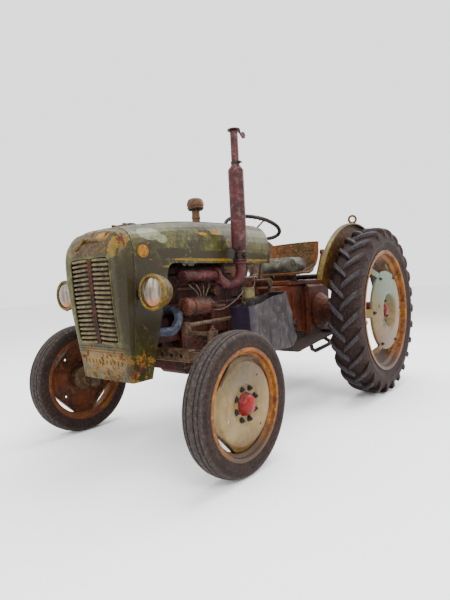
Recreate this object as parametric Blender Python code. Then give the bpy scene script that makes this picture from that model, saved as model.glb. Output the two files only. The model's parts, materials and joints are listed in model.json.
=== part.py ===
"""Farm tractor: a small open two-axle utility tractor with a three-point lift.

Metres, +Z up. The front faces -Y and the tractor's left side is +X. The origin is on the
ground, in the middle of the whole machine.
"""

import math

import bmesh
import bpy
from mathutils import Vector

# ---- Driving dimensions ---------------------------------------------------------------
LENGTH = 2.96  # front tyres' front edge to the lower links' rear balls
WHEELBASE = 1.81
FRONT_TRACK = 1.281  # between the middles of the front tyres
REAR_TRACK = 1.258
FRONT_TYRE_RADIUS = 0.342
FRONT_TYRE_WIDTH = 0.122
FRONT_RIM_RADIUS = 0.246  # bead seat
REAR_TYRE_RADIUS = 0.635
REAR_TYRE_WIDTH = 0.229
REAR_RIM_RADIUS = 0.435
HOOD_HALF_WIDTH = 0.245
HOOD_SHOULDER = 1.02  # height where the flat flank turns into the crown
HOOD_TOP = 1.292  # crown height at the dash
HOOD_DROP = 0.085  # fall of the crown from the dash to the nose seam
HOOD_SQUARENESS = 0.55  # exponent of the crown's section, 1 for an ellipse
NOSE_SEAM = -0.255  # seam between nose shell and hood, measured from the front axle
NOSE_DEPTH = 0.075  # from the seam to the foremost edge
NOSE_BOTTOM = 0.44
HOOD_REAR = 0.935
LID_HALF_WIDTH = 0.128
LID_FRONT = -0.105
LID_REAR = 0.870  # short of the steering wheel, so that the lid can open
SHEET = 0.003  # every pressed panel
GRILLE_HALF_WIDTH = 0.166
GRILLE_BOTTOM = 0.628
GRILLE_TOP = 1.066
SLAT_COUNT = 15
GAP = 0.0003  # between pieces that touch
SEAM = 0.0008  # between fixed panels
LID_GAP = 0.005  # round the lid, which opens
KINGPIN_X = 0.50
KINGPIN_RADIUS = 0.016
STUB_RADIUS = 0.020
RUNNING = 0.0005  # between a shaft and its bore
STEERING_ARM = 0.165
STEERING_EYE_TOP = 0.682
DROP_SHAFT_Y = 0.985  # behind the front axle
DROP_SHAFT_Z = 0.895
DROP_ARM = 0.195
BEAM_HALF = 0.36
BEAM_BOTTOM = 0.513
BEAM_TOP = 0.576
BEAM_HALF_DEPTH = 0.03
ENGINE_FRONT = 0.16
ENGINE_REAR = 0.70
ENGINE_HALF_WIDTH = 0.15
ENGINE_DECK = 0.80
HEAD_TOP = 0.97
ROCKER_TOP = 1.02
FAN_Z = 0.80
FAN_RADIUS = 0.16
BELL_REAR = 1.10
BELL_HALF_WIDTH = 0.14
BELL_TOP = 0.80
HOUSING_HALF_WIDTH = 0.16
HOUSING_BOTTOM = 0.40
HOUSING_TOP = 0.86
COVER_TOP = 0.90
TANK_TOP = 1.20
STACK_X = 0.31
STACK_Y = 0.51
STACK_FOOT = 1.03
MUFFLER_RADIUS = 0.046
PIPE_RADIUS = 0.023
STACK_TOP = 1.800
STEERING_WHEEL_RADIUS = 0.215
STEERING_WHEEL_Y = 1.10
STEERING_WHEEL_Z = 1.30
COLUMN_TILT = math.radians(20)
TUB_FLOOR = 0.4823
TUB_INNER_X = 0.335
TUB_OUTER_X = 0.465
FENDER_X = 0.470
FENDER_RADIUS = 0.690
FENDER_LIP = 0.030
LINK_X = 0.2255
LINK_PIVOT_Y = 0.05  # behind the rear axle
LINK_PIVOT_Z = 0.45
LINK_BALL = 0.022
LIFT_SHAFT_Y = 0.10
LIFT_SHAFT_RADIUS = 0.022
SEAT_PLATE = 0.945

FRONT_AXLE = -LENGTH / 2 + FRONT_TYRE_RADIUS
REAR_AXLE = FRONT_AXLE + WHEELBASE


def front(distance):
    """Y of a place this far behind the front axle."""
    return FRONT_AXLE + distance


def rear(distance):
    """Y of a place this far behind the rear axle."""
    return REAR_AXLE + distance


# ---- Materials ------------------------------------------------------------------------
FINISHES = {
    "hood_green": ((0.10, 0.12, 0.05), 0.55, 0.2),
    "cast_rust": ((0.22, 0.10, 0.06), 0.75, 0.5),
    "dark_iron": ((0.09, 0.06, 0.05), 0.7, 0.5),
    "exhaust": ((0.16, 0.05, 0.05), 0.7, 0.4),
    "rim_orange": ((0.45, 0.20, 0.06), 0.6, 0.4),
    "disc_cream": ((0.42, 0.40, 0.33), 0.6, 0.3),
    "rubber": ((0.05, 0.05, 0.05), 0.85, 0.0),
    "galvanised": ((0.35, 0.34, 0.36), 0.5, 0.7),
    "slats": ((0.34, 0.32, 0.27), 0.55, 0.5),
    "glass": ((0.80, 0.80, 0.72), 0.1, 0.0),
    "cushion": ((0.45, 0.50, 0.42), 0.7, 0.0),
    "hose": ((0.20, 0.24, 0.32), 0.6, 0.0),
    "wheel_brown": ((0.10, 0.05, 0.04), 0.5, 0.0),
    "red_iron": ((0.35, 0.07, 0.05), 0.6, 0.4),
}
MATERIALS = {}


def material(name):
    """The Principled material of this name, made when it is first used."""
    if name not in MATERIALS:
        colour, roughness, metallic = FINISHES[name]
        made = bpy.data.materials.new(name)
        made.use_nodes = True
        shader = made.node_tree.nodes["Principled BSDF"]
        shader.inputs["Base Color"].default_value = (*colour, 1.0)
        shader.inputs["Roughness"].default_value = roughness
        shader.inputs["Metallic"].default_value = metallic
        made.diffuse_color = (*colour, 1.0)
        MATERIALS[name] = made
    return MATERIALS[name]


# ---- Modelling helpers ----------------------------------------------------------------
def as_object(name, bm, finish=None, turn_out=True):
    """An object from a bmesh, with its faces turned outwards."""
    if turn_out:
        bmesh.ops.recalc_face_normals(bm, faces=bm.faces)
    mesh = bpy.data.meshes.new(name)
    bm.to_mesh(mesh)
    bm.free()
    obj = bpy.data.objects.new(name, mesh)
    bpy.context.scene.collection.objects.link(obj)
    if finish:
        mesh.materials.append(material(finish))
    return obj


def block(low, high, bevel=0.0, name="block"):
    """A box between two corners, with its edges bevelled if asked."""
    bm = bmesh.new()
    bmesh.ops.create_cube(bm, size=1.0)
    for vert in bm.verts:
        vert.co = Vector(
            [lo + (hi - lo) * (c + 0.5) for lo, hi, c in zip(low, high, vert.co)]
        )
    if bevel:
        bmesh.ops.bevel(
            bm, geom=bm.edges[:], offset=bevel, segments=1, affect="EDGES", profile=0.5
        )
    return as_object(name, bm)


AXES = {"X": (1, 2, 0), "Y": (0, 2, 1), "Z": (0, 1, 2)}


def along(axis, first, second, depth):
    """The point with these two coordinates across an axis, and this one along it."""
    order = AXES[axis]
    point = [0.0, 0.0, 0.0]
    for index, value in zip(order, (first, second, depth)):
        point[index] = value
    return Vector(point)


def prism(outline, axis, low, high, name="prism"):
    """A closed outline in the plane across an axis, extruded between two places."""
    bm = bmesh.new()
    ends = [[bm.verts.new(along(axis, a, b, d)) for a, b in outline] for d in (low, high)]
    bm.faces.new(ends[0])
    bm.faces.new(ends[1])
    count = len(outline)
    for i in range(count):
        j = (i + 1) % count
        bm.faces.new((ends[0][i], ends[0][j], ends[1][j], ends[1][i]))
    return as_object(name, bm)


def turned(profile, axis, centre, sides, name="turned", sweep=None):
    """A closed profile of (radius, depth) points, turned round an axis through a centre.

    A flat side faces straight down, and radii are those of the flats. With a sweep of
    (start, end) angles the solid is a part turn with flat ends.
    """
    bm = bmesh.new()
    stretch = 1 / math.cos(math.pi / sides)
    if sweep:
        angles = [sweep[0] + (sweep[1] - sweep[0]) * i / sides for i in range(sides + 1)]
        stretch = 1.0
    else:
        angles = [-math.pi / 2 + math.pi / sides + 2 * math.pi * i / sides for i in range(sides)]
    rings = []
    for angle in angles:
        ring = []
        for index, (radius, depth) in enumerate(profile):
            if radius == 0 and rings:
                ring.append(rings[0][index])
                continue
            reach = radius * stretch
            point = along(axis, reach * math.cos(angle), reach * math.sin(angle), depth)
            ring.append(bm.verts.new(point + Vector(centre)))
        rings.append(ring)
    count = len(profile)
    pairs = zip(rings, rings[1:] if sweep else rings[1:] + rings[:1])
    for ring, following in pairs:
        for i in range(count):
            j = (i + 1) % count
            corners = dict.fromkeys((ring[i], ring[j], following[j], following[i]))
            if len(corners) > 2:
                bm.faces.new(list(corners))
    if sweep:
        bm.faces.new(rings[0])
        bm.faces.new(rings[-1])
    return as_object(name, bm)


def rod(radius, axis, centre, low, high, sides=12, name="rod"):
    """A round bar along an axis, between two places measured along it."""
    profile = [(0, low), (radius, low), (radius, high), (0, high)]
    middle = [0.0 if i == AXES[axis][2] else c for i, c in enumerate(centre)]
    return turned(profile, axis, middle, sides, name)


def tube(path, radius, sides=8, name="tube"):
    """A round bar that follows a path of points, with flat ends."""
    points = [Vector(p) for p in path]
    bm = bmesh.new()
    rings = []
    side = None
    for index, point in enumerate(points):
        before = points[max(index - 1, 0)]
        after = points[min(index + 1, len(points) - 1)]
        ahead = (after - before).normalized()
        if side is None:
            side = ahead.orthogonal().normalized()
        side = (side - ahead * side.dot(ahead)).normalized()
        up = ahead.cross(side)
        turns = [2 * math.pi * k / sides for k in range(sides)]
        rings.append(
            [bm.verts.new(point + radius * (side * math.cos(t) + up * math.sin(t))) for t in turns]
        )
    for ring, following in zip(rings, rings[1:]):
        for k in range(sides):
            n = (k + 1) % sides
            bm.faces.new((ring[k], ring[n], following[n], following[k]))
    bm.faces.new(rings[0])
    bm.faces.new(rings[-1])
    return as_object(name, bm)


def sheet(rows, thickness, name="sheet", closers=()):
    """A grid of points made into a panel, half its thickness on either side of the grid.

    closers are quads of (row, column) pairs that close the grid further.
    """
    bm = bmesh.new()
    grid = [[bm.verts.new(point) for point in row] for row in rows]
    for row, following in zip(grid, grid[1:]):
        for k in range(len(row) - 1):
            bm.faces.new((row[k], row[k + 1], following[k + 1], following[k]))
    for quad in closers:
        bm.faces.new([grid[r][c] for r, c in quad])
    obj = as_object(name, bm)
    thicken = obj.modifiers.new("thickness", "SOLIDIFY")
    thicken.thickness = thickness
    thicken.offset = 0.0
    thicken.use_even_offset = True
    return baked(obj)


def baked(obj):
    """The same object, with its modifiers applied."""
    bpy.context.view_layer.update()
    graph = bpy.context.evaluated_depsgraph_get()
    mesh = bpy.data.meshes.new_from_object(obj.evaluated_get(graph))
    obj.modifiers.clear()
    obj.data = mesh
    return obj


def combine(base, others, operation):
    """The base object after a Boolean with each of the others, which are used up."""
    for other in others:
        step = base.modifiers.new(operation.lower(), "BOOLEAN")
        step.operation = operation
        step.solver = "EXACT"
        step.object = other
        other.hide_render = True
        other.display_type = "WIRE"
    baked(base)
    for other in others:
        bpy.data.objects.remove(other)
    return base


def joined(*solids):
    """One solid from several that overlap."""
    return combine(solids[0], solids[1:], "UNION")


def cut(base, *cutters):
    """The base solid with the cutters taken away."""
    return combine(base, cutters, "DIFFERENCE")


def piece(name, solid, finish, origin=(0, 0, 0), smooth=40):
    """A finished node: named, given its finish, and with its origin on its joint's axis."""
    solid.name = name
    solid.data.name = name
    solid.data.materials.clear()
    solid.data.materials.append(material(finish))
    solid.data.transform(solid.matrix_world)
    solid.data.shade_smooth()
    solid.data.set_sharp_from_angle(angle=math.radians(smooth))
    place = Vector(origin)
    for vert in solid.data.vertices:
        vert.co -= place
    solid.location = place
    return solid


def mirrored(solid, name):
    """A copy of a solid on the tractor's other side."""
    bm = bmesh.new()
    bm.from_mesh(solid.data)
    for vert in bm.verts:
        vert.co.x = -vert.co.x
    bmesh.ops.reverse_faces(bm, faces=bm.faces)
    return as_object(name, bm, turn_out=False)


def both_sides(name, make, finish, origin=(0, 0, 0)):
    """A left node made by a function, and its mirror image on the right."""
    solid = make()
    other = mirrored(solid, name)
    piece(name + "_left", solid, finish, origin)
    piece(name + "_right", other, finish, (-origin[0], origin[1], origin[2]))


# ---- Hood and nose --------------------------------------------------------------------
def crown_height(station):
    """Height of the hood's crown, at a distance behind the front axle."""
    ahead = (HOOD_REAR - station) / (HOOD_REAR - NOSE_SEAM)
    return HOOD_TOP - HOOD_DROP * ahead**3


FLANK_TAPER_TOP = 0.95  # below this height the flank leans in
FLANK_TAPER = 0.04


def flank_half_width(height):
    """Half-width of the hood and cowl below the shoulder."""
    share = max(0.0, FLANK_TAPER_TOP - height) / (FLANK_TAPER_TOP - NOSE_BOTTOM)
    return HOOD_HALF_WIDTH - FLANK_TAPER * share


def crown_angle(half_width):
    """The section angle at which the crown is this far from the middle."""
    return math.acos((half_width / HOOD_HALF_WIDTH) ** (1 / HOOD_SQUARENESS))


def crown_point(station, angle, width_loss=0.0, height_loss=0.0, inset=0.0):
    """A point of the crown's section: angle 0 at the left shoulder, half a turn right."""
    half = HOOD_HALF_WIDTH - width_loss - inset
    rise = crown_height(station) - height_loss - inset - HOOD_SHOULDER
    across = math.copysign(abs(math.cos(angle)) ** HOOD_SQUARENESS, math.cos(angle))
    up = abs(math.sin(angle)) ** HOOD_SQUARENESS
    return half * across, HOOD_SHOULDER + rise * up


def spread(low, high, count):
    """Evenly spaced values from low to high, both included."""
    return [low + (high - low) * i / (count - 1) for i in range(count)]


LID_ANGLE = crown_angle(LID_HALF_WIDTH)
SIDE_ANGLE = crown_angle(LID_HALF_WIDTH + LID_GAP)
LOWER_HEIGHTS = [NOSE_BOTTOM, 0.60, 0.78, FLANK_TAPER_TOP]


def hood_lid():
    """The long lid along the middle of the hood."""
    rows = []
    for station in spread(LID_FRONT, LID_REAR, 8):
        row = []
        for angle in spread(LID_ANGLE, math.pi - LID_ANGLE, 9):
            x, z = crown_point(station, angle)
            row.append((x, front(station), z))
        rows.append(row)
    return sheet(rows, SHEET)


COWL_REAR_TOP = -0.03  # the cowl's rear edge, where its arch begins
COWL_REAR_BOTTOM = -0.148
ARCH_RADIUS = 0.05


def side_cutter():
    """What is taken from a hood side: all that lies behind the cowl and below the hood."""
    edge = HOOD_SHOULDER + 0.004
    middle_y = COWL_REAR_TOP + ARCH_RADIUS
    arch = []
    for turn in spread(math.pi, math.pi / 2, 5):
        y = middle_y + ARCH_RADIUS * math.cos(turn)
        arch.append((front(y), edge - ARCH_RADIUS + ARCH_RADIUS * math.sin(turn)))
    outline = [(front(COWL_REAR_BOTTOM), NOSE_BOTTOM - 0.05)]
    outline += arch
    outline += [(front(HOOD_REAR + 0.1), edge), (front(HOOD_REAR + 0.1), NOSE_BOTTOM - 0.05)]
    return prism(outline, "X", 0.0, 2 * HOOD_HALF_WIDTH)


def hood_side():
    """The left hood side: crown edge, flank, and the cowl beside the radiator."""
    angles = spread(SIDE_ANGLE, 0.0, 9)
    rows = []
    for station in spread(NOSE_SEAM + SEAM, HOOD_REAR, 10):
        row = []
        for angle in angles:
            x, z = crown_point(station, angle)
            row.append((x, front(station), z))
        for height in reversed(LOWER_HEIGHTS):
            row.append((flank_half_width(height), front(station), height))
        rows.append(row)
    return cut(sheet(rows, SHEET), side_cutter())


NOSE_WIDTH_LOSS = 0.04
NOSE_HEIGHT_LOSS = 0.105
NOSE_SWEEP = 0.067  # how far the nose's foot lies behind its brow
NOSE_BROW = 1.07


def nose_front(height):
    """Distance of the nose's front face behind the front axle, at a height."""
    below = max(0.0, NOSE_BROW - height) / (NOSE_BROW - NOSE_BOTTOM)
    return NOSE_SEAM - NOSE_DEPTH + NOSE_SWEEP * below**1.9


def nose_shell():
    """The nose: a rounded front with the grille opening cut in it."""
    rows = []
    for turn in (0, 32, 57, 76, 90):
        theta = math.radians(turn)
        loss = NOSE_WIDTH_LOSS * (1 - math.cos(theta))
        drop = NOSE_HEIGHT_LOSS * (1 - math.cos(theta))
        left = []
        for height in LOWER_HEIGHTS:
            left.append((flank_half_width(height) - loss, height))
        for angle in spread(0.0, math.pi / 2, 9):
            left.append(crown_point(NOSE_SEAM, angle, loss, drop))
        outline = left + [(-x, z) for x, z in reversed(left[:-1])]
        row = []
        for x, z in outline:
            reach = nose_front(z) - NOSE_SEAM
            row.append((x, front(NOSE_SEAM + reach * math.sin(theta)), z))
        rows.append(row)
    last = len(rows) - 1
    count = len(rows[0])
    closers = []
    for k in range(count // 2):
        mates = [(last, k), (last, k + 1), (last, count - 2 - k), (last, count - 1 - k)]
        closers.append(list(dict.fromkeys(mates)))
    shell = sheet(rows, SHEET, closers=closers)
    opening = grille_outline(0.0)
    return cut(shell, prism(opening, "Y", front(-0.5), front(NOSE_SEAM + 0.02)))


def grille_outline(inset):
    """The grille opening's outline: a rounded upright rectangle, seen from the front."""
    corner = 0.035
    half = GRILLE_HALF_WIDTH - inset
    low = GRILLE_BOTTOM + inset
    high = GRILLE_TOP - inset
    points = []
    for sx, sz in ((1, 1), (-1, 1), (-1, -1), (1, -1)):
        x = sx * (half - corner)
        z = (high if sz > 0 else low) - sz * corner
        start = {(1, 1): 0, (-1, 1): 90, (-1, -1): 180, (1, -1): 270}[(sx, sz)]
        for turn in (0, 30, 60, 90):
            t = math.radians(start + turn)
            points.append((x + corner * math.cos(t), z + corner * math.sin(t)))
    return points


def grille():
    """The grille: a plate with two columns of slots, which leave the slats between them."""
    plate = prism(grille_outline(GAP), "Y", front(-0.5), front(NOSE_SEAM))
    heights = spread(GRILLE_BOTTOM - 0.02, GRILLE_TOP + 0.02, 7)
    face = [(front(nose_front(z) - 0.001), z) for z in heights]
    back = [(y + 0.012, z) for y, z in reversed(face)]
    slab = prism(face + back, "X", -0.3, 0.3)
    combine(plate, [slab], "INTERSECT")
    pitch = (GRILLE_TOP - GRILLE_BOTTOM - 0.03) / SLAT_COUNT
    slots = bmesh.new()
    for side in (-1, 1):
        for index in range(SLAT_COUNT):
            z = GRILLE_BOTTOM + 0.015 + (index + 0.5) * pitch
            near_end = index in (0, SLAT_COUNT - 1)
            outer = GRILLE_HALF_WIDTH - (0.036 if near_end else 0.018)
            made = bmesh.ops.create_cube(slots, size=1.0)["verts"]
            for vert in made:
                vert.co.x = side * (0.018 + (outer - 0.018) * (vert.co.x + 0.5))
                vert.co.y = front(-0.3) + 0.3 * vert.co.y
                vert.co.z = z + 0.011 * vert.co.z
    return cut(plate, as_object("slots", slots))


def dash():
    """The plate that closes the rear of the hood."""
    inset = SHEET / 2 + GAP
    low = 1.06
    angles = spread(0.0, SIDE_ANGLE, 9)
    left = [crown_point(HOOD_REAR, angle, inset=inset) for angle in angles]
    middle = [
        crown_point(HOOD_REAR, angle, inset=inset)
        for angle in spread(LID_ANGLE, math.pi - LID_ANGLE, 9)
    ]
    right = [(-x, z) for x, z in reversed(left)]
    arch = left + middle + right
    arch = [(x, max(z, low)) for x, z in arch if z > low - 0.02]
    outline = [(arch[0][0], low)] + [p for p in arch if p[1] > low] + [(arch[-1][0], low)]
    return prism(outline, "Y", front(HOOD_REAR - 0.03), front(HOOD_REAR - 0.005))


def crown_strip(stations, inset):
    """A strip of sheet across the crown's middle, below its surface by the inset."""
    rows = []
    for station in stations:
        row = []
        for angle in spread(LID_ANGLE, math.pi - LID_ANGLE, 9):
            x, z = crown_point(station, angle, inset=inset)
            row.append((x, front(station), z))
        rows.append(row)
    return sheet(rows, SHEET)


def rear_crown():
    """The fixed strip of crown behind the lid, with the ledge that the lid rests on."""
    strip = crown_strip(spread(LID_REAR + LID_GAP, HOOD_REAR - 0.004, 3), SHEET / 2)
    ledge = crown_strip(spread(LID_REAR - 0.012, LID_REAR + 0.02, 3), SHEET + GAP)
    return [strip, ledge]


def build_hood():
    """Hood, nose, grille, dash, tank and the lid's hinge."""
    hinge_z = crown_height(LID_FRONT) + SHEET / 2 + 0.004
    hinge_y = front(LID_FRONT - 0.007)
    piece("hood_lid", hood_lid(), "hood_green", (0, hinge_y, hinge_z))
    both_sides("hood_side", hood_side, "hood_green")
    piece("nose_shell", joined(nose_with_brow(), *lid_hinge(hinge_y, hinge_z)), "hood_green")
    piece("grille", grille(), "slats")
    tank_front = front(0.50)
    tank = block((-0.19, tank_front, ROCKER_TOP + GAP), (0.19, front(HOOD_REAR - 0.02), TANK_TOP), 0.03)
    piece("dash_and_tank", joined(tank, dash(), *rear_crown()), "dark_iron")


def nose_with_brow():
    """The nose shell with the fixed strip of crown in front of the lid."""
    rows = []
    for station in spread(NOSE_SEAM - 0.004, LID_FRONT - LID_GAP - 0.004, 5):
        row = []
        for angle in spread(LID_ANGLE, math.pi - LID_ANGLE, 9):
            x, z = crown_point(max(station, NOSE_SEAM), angle)
            row.append((x, front(station), z))
        rows.append(row)
    return joined(nose_shell(), sheet(rows, SHEET))


def lid_hinge(y, z):
    """The lid's hinge pin in its two ears, standing on the brow."""
    pin = rod(0.004, "X", (0, y, z), -0.05, 0.05, 8)
    foot_low = crown_height(LID_FRONT - 0.02) - 0.001
    ears = [
        block((x - 0.004, y - 0.03, foot_low), (x + 0.004, y + 0.004, z + 0.005))
        for x in (-0.046, 0.046)
    ]
    return [pin, *ears]


# ---- Lamps ----------------------------------------------------------------------------
LAMP_X = 0.36
LAMP_Y = -0.243
LAMP_Z = 0.881
LAMP_RADIUS = 0.086


def headlight():
    """A round lamp, bowl and domed glass, on a short arm from the cowl."""
    centre = (LAMP_X, front(LAMP_Y), LAMP_Z)
    edge = LAMP_RADIUS
    profile = [(0, -0.024), (0.045, -0.020), (edge - 0.010, -0.010), (edge, -0.010)]
    profile += [(edge, 0.012), (0.072, 0.055), (0.045, 0.088), (0, 0.100)]
    bowl = turned(profile, "Y", centre, 18)
    root = flank_half_width(LAMP_Z) + SHEET / 2 + 2 * GAP
    arm = rod(0.016, "X", (0, front(LAMP_Y + 0.035), LAMP_Z - 0.01), root, LAMP_X - 0.03, 10)
    return joined(bowl, arm)


# ---- Engine ---------------------------------------------------------------------------
RADIATOR_FRONT = -0.19
RADIATOR_REAR = -0.115
SUPPORT_TOP = 0.64
PUMP_FRONT = 0.115


def build_engine():
    """Front support, radiator, fan, engine block and what is bolted to it."""
    piece("front_support", front_support(), "cast_rust")
    core = block(
        (-0.185, front(RADIATOR_FRONT), SUPPORT_TOP + GAP), (0.185, front(RADIATOR_REAR), 1.10), 0.008
    )
    piece("radiator", core, "dark_iron")
    piece("fan", fan(), "dark_iron", (0, front(-0.06), FAN_Z))
    piece("engine", engine(), "dark_iron")
    piece("generator", generator(), "dark_iron")
    piece("fuel_filter", fuel_filter(), "disc_cream")
    piece("lower_hose", lower_hose(), "hose")
    piece("exhaust_manifold", manifold(), "exhaust")
    piece("exhaust_stack", stack(), "exhaust")
    cap_hinge = (STACK_X, front(STACK_Y) + CAP_HINGE, CAP_HINGE_Z)
    piece("rain_cap", rain_cap(), "hood_green", cap_hinge)
    piece("air_precleaner", precleaner(), "cast_rust")


def front_support():
    """The casting that carries the front axle on its pivot pin, with the radiator on top."""
    rear_face = front(ENGINE_FRONT) - GAP
    top = block((-0.13, front(-0.19), 0.60), (0.13, rear_face, SUPPORT_TOP), 0.0)
    fore = block((-0.09, front(-0.18), 0.45), (0.09, front(-0.045), 0.61))
    aft = block((-0.09, front(0.045), 0.45), (0.09, rear_face, 0.61))
    gap = SHEET / 2 + 2 * GAP
    face = [(front(nose_front(z)) + gap, z) for z in LOWER_HEIGHTS[:2]]
    pad = prism(face + [(front(-0.17), face[1][1]), (front(-0.17), face[0][1])], "X", -0.12, 0.12)
    pivot = rod(0.022, "Y", (0, 0, BEAM_MIDDLE), front(-0.05), front(0.05), 16)
    return joined(top, fore, aft, pad, pivot)


BEAM_MIDDLE = (BEAM_BOTTOM + BEAM_TOP) / 2


def fan():
    """Four blades on a hub, on a shaft out of the water pump."""
    centre = (0, 0, FAN_Z)
    hub = rod(0.032, "Y", centre, front(-0.078), front(-0.042), 12)
    shaft = rod(0.012, "Y", centre, front(-0.05), front(PUMP_FRONT) - RUNNING, 10)
    pulley = rod(0.06, "Y", centre, front(0.03), front(0.055), 20)
    blades = []
    for quarter in range(4):
        blade = block((-0.032, -0.004, 0.02), (0.032, 0.004, FAN_RADIUS), 0.0)
        for vert in blade.data.vertices:
            x, y, z = vert.co
            y += 0.30 * x
            turn = quarter * math.pi / 2
            vert.co.x = x * math.cos(turn) + z * math.sin(turn)
            vert.co.z = z * math.cos(turn) - x * math.sin(turn) + FAN_Z
            vert.co.y = y + front(-0.06)
        blades.append(blade)
    return joined(hub, shaft, pulley, *blades)


def engine():
    """The engine as one closed block: crankcase, head, rocker cover, sump and its two pumps."""
    half = ENGINE_HALF_WIDTH
    case = block((-half, front(ENGINE_FRONT), 0.47), (half, front(ENGINE_REAR), ENGINE_DECK), 0.01)
    head = block((-0.115, front(0.18), ENGINE_DECK - 0.02), (0.115, front(0.68), HEAD_TOP), 0.008)
    rocker = block((-0.075, front(0.20), HEAD_TOP - 0.02), (0.075, front(0.66), ROCKER_TOP), 0.012)
    sump = block((-0.12, front(0.20), 0.385), (0.12, front(0.66), 0.48), 0.02)
    pump = rod(0.05, "Y", (0, 0, FAN_Z - 0.03), front(PUMP_FRONT), front(ENGINE_FRONT + 0.01), 16)
    crank = rod(0.05, "Y", (0, 0, 0.70), front(ENGINE_FRONT - 0.02), front(ENGINE_FRONT + 0.01), 14)
    injector = block((half - 0.02, front(0.36), 0.62), (half + 0.055, front(0.50), 0.78), 0.012)
    return joined(case, head, rocker, sump, pump, crank, injector)


GENERATOR_X = 0.210
GENERATOR_Z = 0.805


def generator():
    """The generator, carried by a bracket on the engine's left side."""
    body = rod(0.052, "Y", (GENERATOR_X, 0, GENERATOR_Z), front(0.13), front(0.33), 14)
    pulley = rod(0.036, "Y", (GENERATOR_X, 0, GENERATOR_Z), front(0.105), front(0.135), 10)
    bracket = block(
        (ENGINE_HALF_WIDTH + GAP, front(0.17), 0.713), (GENERATOR_X - 0.013, front(0.29), 0.774)
    )
    return joined(body, pulley, bracket)


def fuel_filter():
    """The fuel filter bowl on its bracket, above the drag link's reach."""
    x = BELL_HALF_WIDTH + 0.050
    bowl = turned(
        [(0, 0.790), (0.03, 0.790), (0.040, 0.802), (0.040, 0.870), (0, 0.870)],
        "Z", (x, front(0.745), 0), 16,
    )
    arm = block((BELL_HALF_WIDTH + GAP, front(0.725), 0.770), (x, front(0.765), 0.794))
    return joined(bowl, arm)


def lower_hose():
    """The bottom radiator hose, looped out past the fan and back to the water pump."""
    path = [(0.155, front(RADIATOR_REAR) + GAP, 0.672), (0.155, front(-0.095), 0.672)]
    path += [(0.185, front(-0.040), 0.665), (0.208, front(0.015), 0.668)]
    path += [(0.212, front(0.050), 0.698), (0.192, front(0.085), 0.735)]
    path += [(0.145, front(0.118), 0.765), (0.100, front(0.132), 0.770)]
    path += [(0.050 + 2 * GAP, front(0.132), 0.770)]
    return tube(path, 0.024, 10)


def manifold():
    """The exhaust manifold on the head, with the dip that leads up to the stack."""
    log = tube([(0.200, front(0.12), 0.955), (0.200, front(0.37), 0.955)], 0.034, 10)
    path = [(0.200, front(0.34), 0.955), (0.205, front(0.40), 0.948), (0.222, front(0.435), 0.915)]
    path += [(0.245, front(0.455), 0.893), (0.272, front(0.475), 0.893)]
    path += [(0.298, front(0.498), 0.920), (STACK_X, front(STACK_Y), 0.965)]
    path += [(STACK_X, front(STACK_Y), STACK_FOOT - GAP)]
    elbow = tube(path, 0.030, 10)
    flange = rod(0.043, "Z", (STACK_X, front(STACK_Y), 0), STACK_FOOT - 0.018, STACK_FOOT - GAP, 16)
    ports = [
        rod(0.026, "X", (0, front(y), 0.930), 0.115 + GAP, 0.185, 10) for y in (0.20, 0.34)
    ]
    return joined(log, elbow, flange, *ports)


def stack():
    """The upright exhaust: clamp, muffler with round ends, open tail pipe and cap collar."""
    inner = PIPE_RADIUS - 0.002
    wide = MUFFLER_RADIUS
    low = STACK_FOOT
    profile = [(0, low), (0.043, low), (0.043, low + 0.012), (0.026, low + 0.014)]
    profile += [(0.026, low + 0.062), (wide - 0.012, low + 0.070), (wide, low + 0.085)]
    profile += [(wide, 1.565), (wide - 0.012, 1.585), (PIPE_RADIUS, 1.597)]
    profile += [(PIPE_RADIUS, STACK_TOP), (inner, STACK_TOP), (inner, 1.62), (0, 1.62)]
    pipe = turned(profile, "Z", (STACK_X, front(STACK_Y), 0), 14)
    return joined(pipe, *cap_collar())


CAP_HINGE = 0.050  # from the pipe's axis to the cap's hinge
CAP_HINGE_Z = STACK_TOP + 0.006
CAP_RADIUS = 0.038
CLAMP_WALL = 0.010
TAIL_REACH = 0.042  # from the hinge to the middle of the cap's counterweight
TAIL_DROP = 0.013
TAIL_RADIUS = 0.020


def cap_collar():
    """The clamp on the pipe's top, with two ears that hold the cap's hinge pin."""
    bore = PIPE_RADIUS - 0.001
    outer = PIPE_RADIUS + CLAMP_WALL
    profile = [(bore, STACK_TOP - 0.042), (outer, STACK_TOP - 0.042)]
    profile += [(outer, STACK_TOP - 0.004), (bore, STACK_TOP - 0.004)]
    ring = turned(profile, "Z", (STACK_X, front(STACK_Y), 0), 14)
    ears = []
    hinge_y = front(STACK_Y) + CAP_HINGE
    for side in (-1, 1):
        x = STACK_X + side * 0.012
        high = (x + 0.002, hinge_y + 0.005, STACK_TOP - 0.006)
        ears.append(block((x - 0.002, front(STACK_Y) + bore + 0.001, STACK_TOP - 0.024), high))
        low = (x - 0.002, hinge_y - 0.005, STACK_TOP - 0.023)
        ears.append(block(low, (x + 0.002, hinge_y + 0.0045, CAP_HINGE_Z + 0.005)))
    return [ring, *ears]


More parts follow.
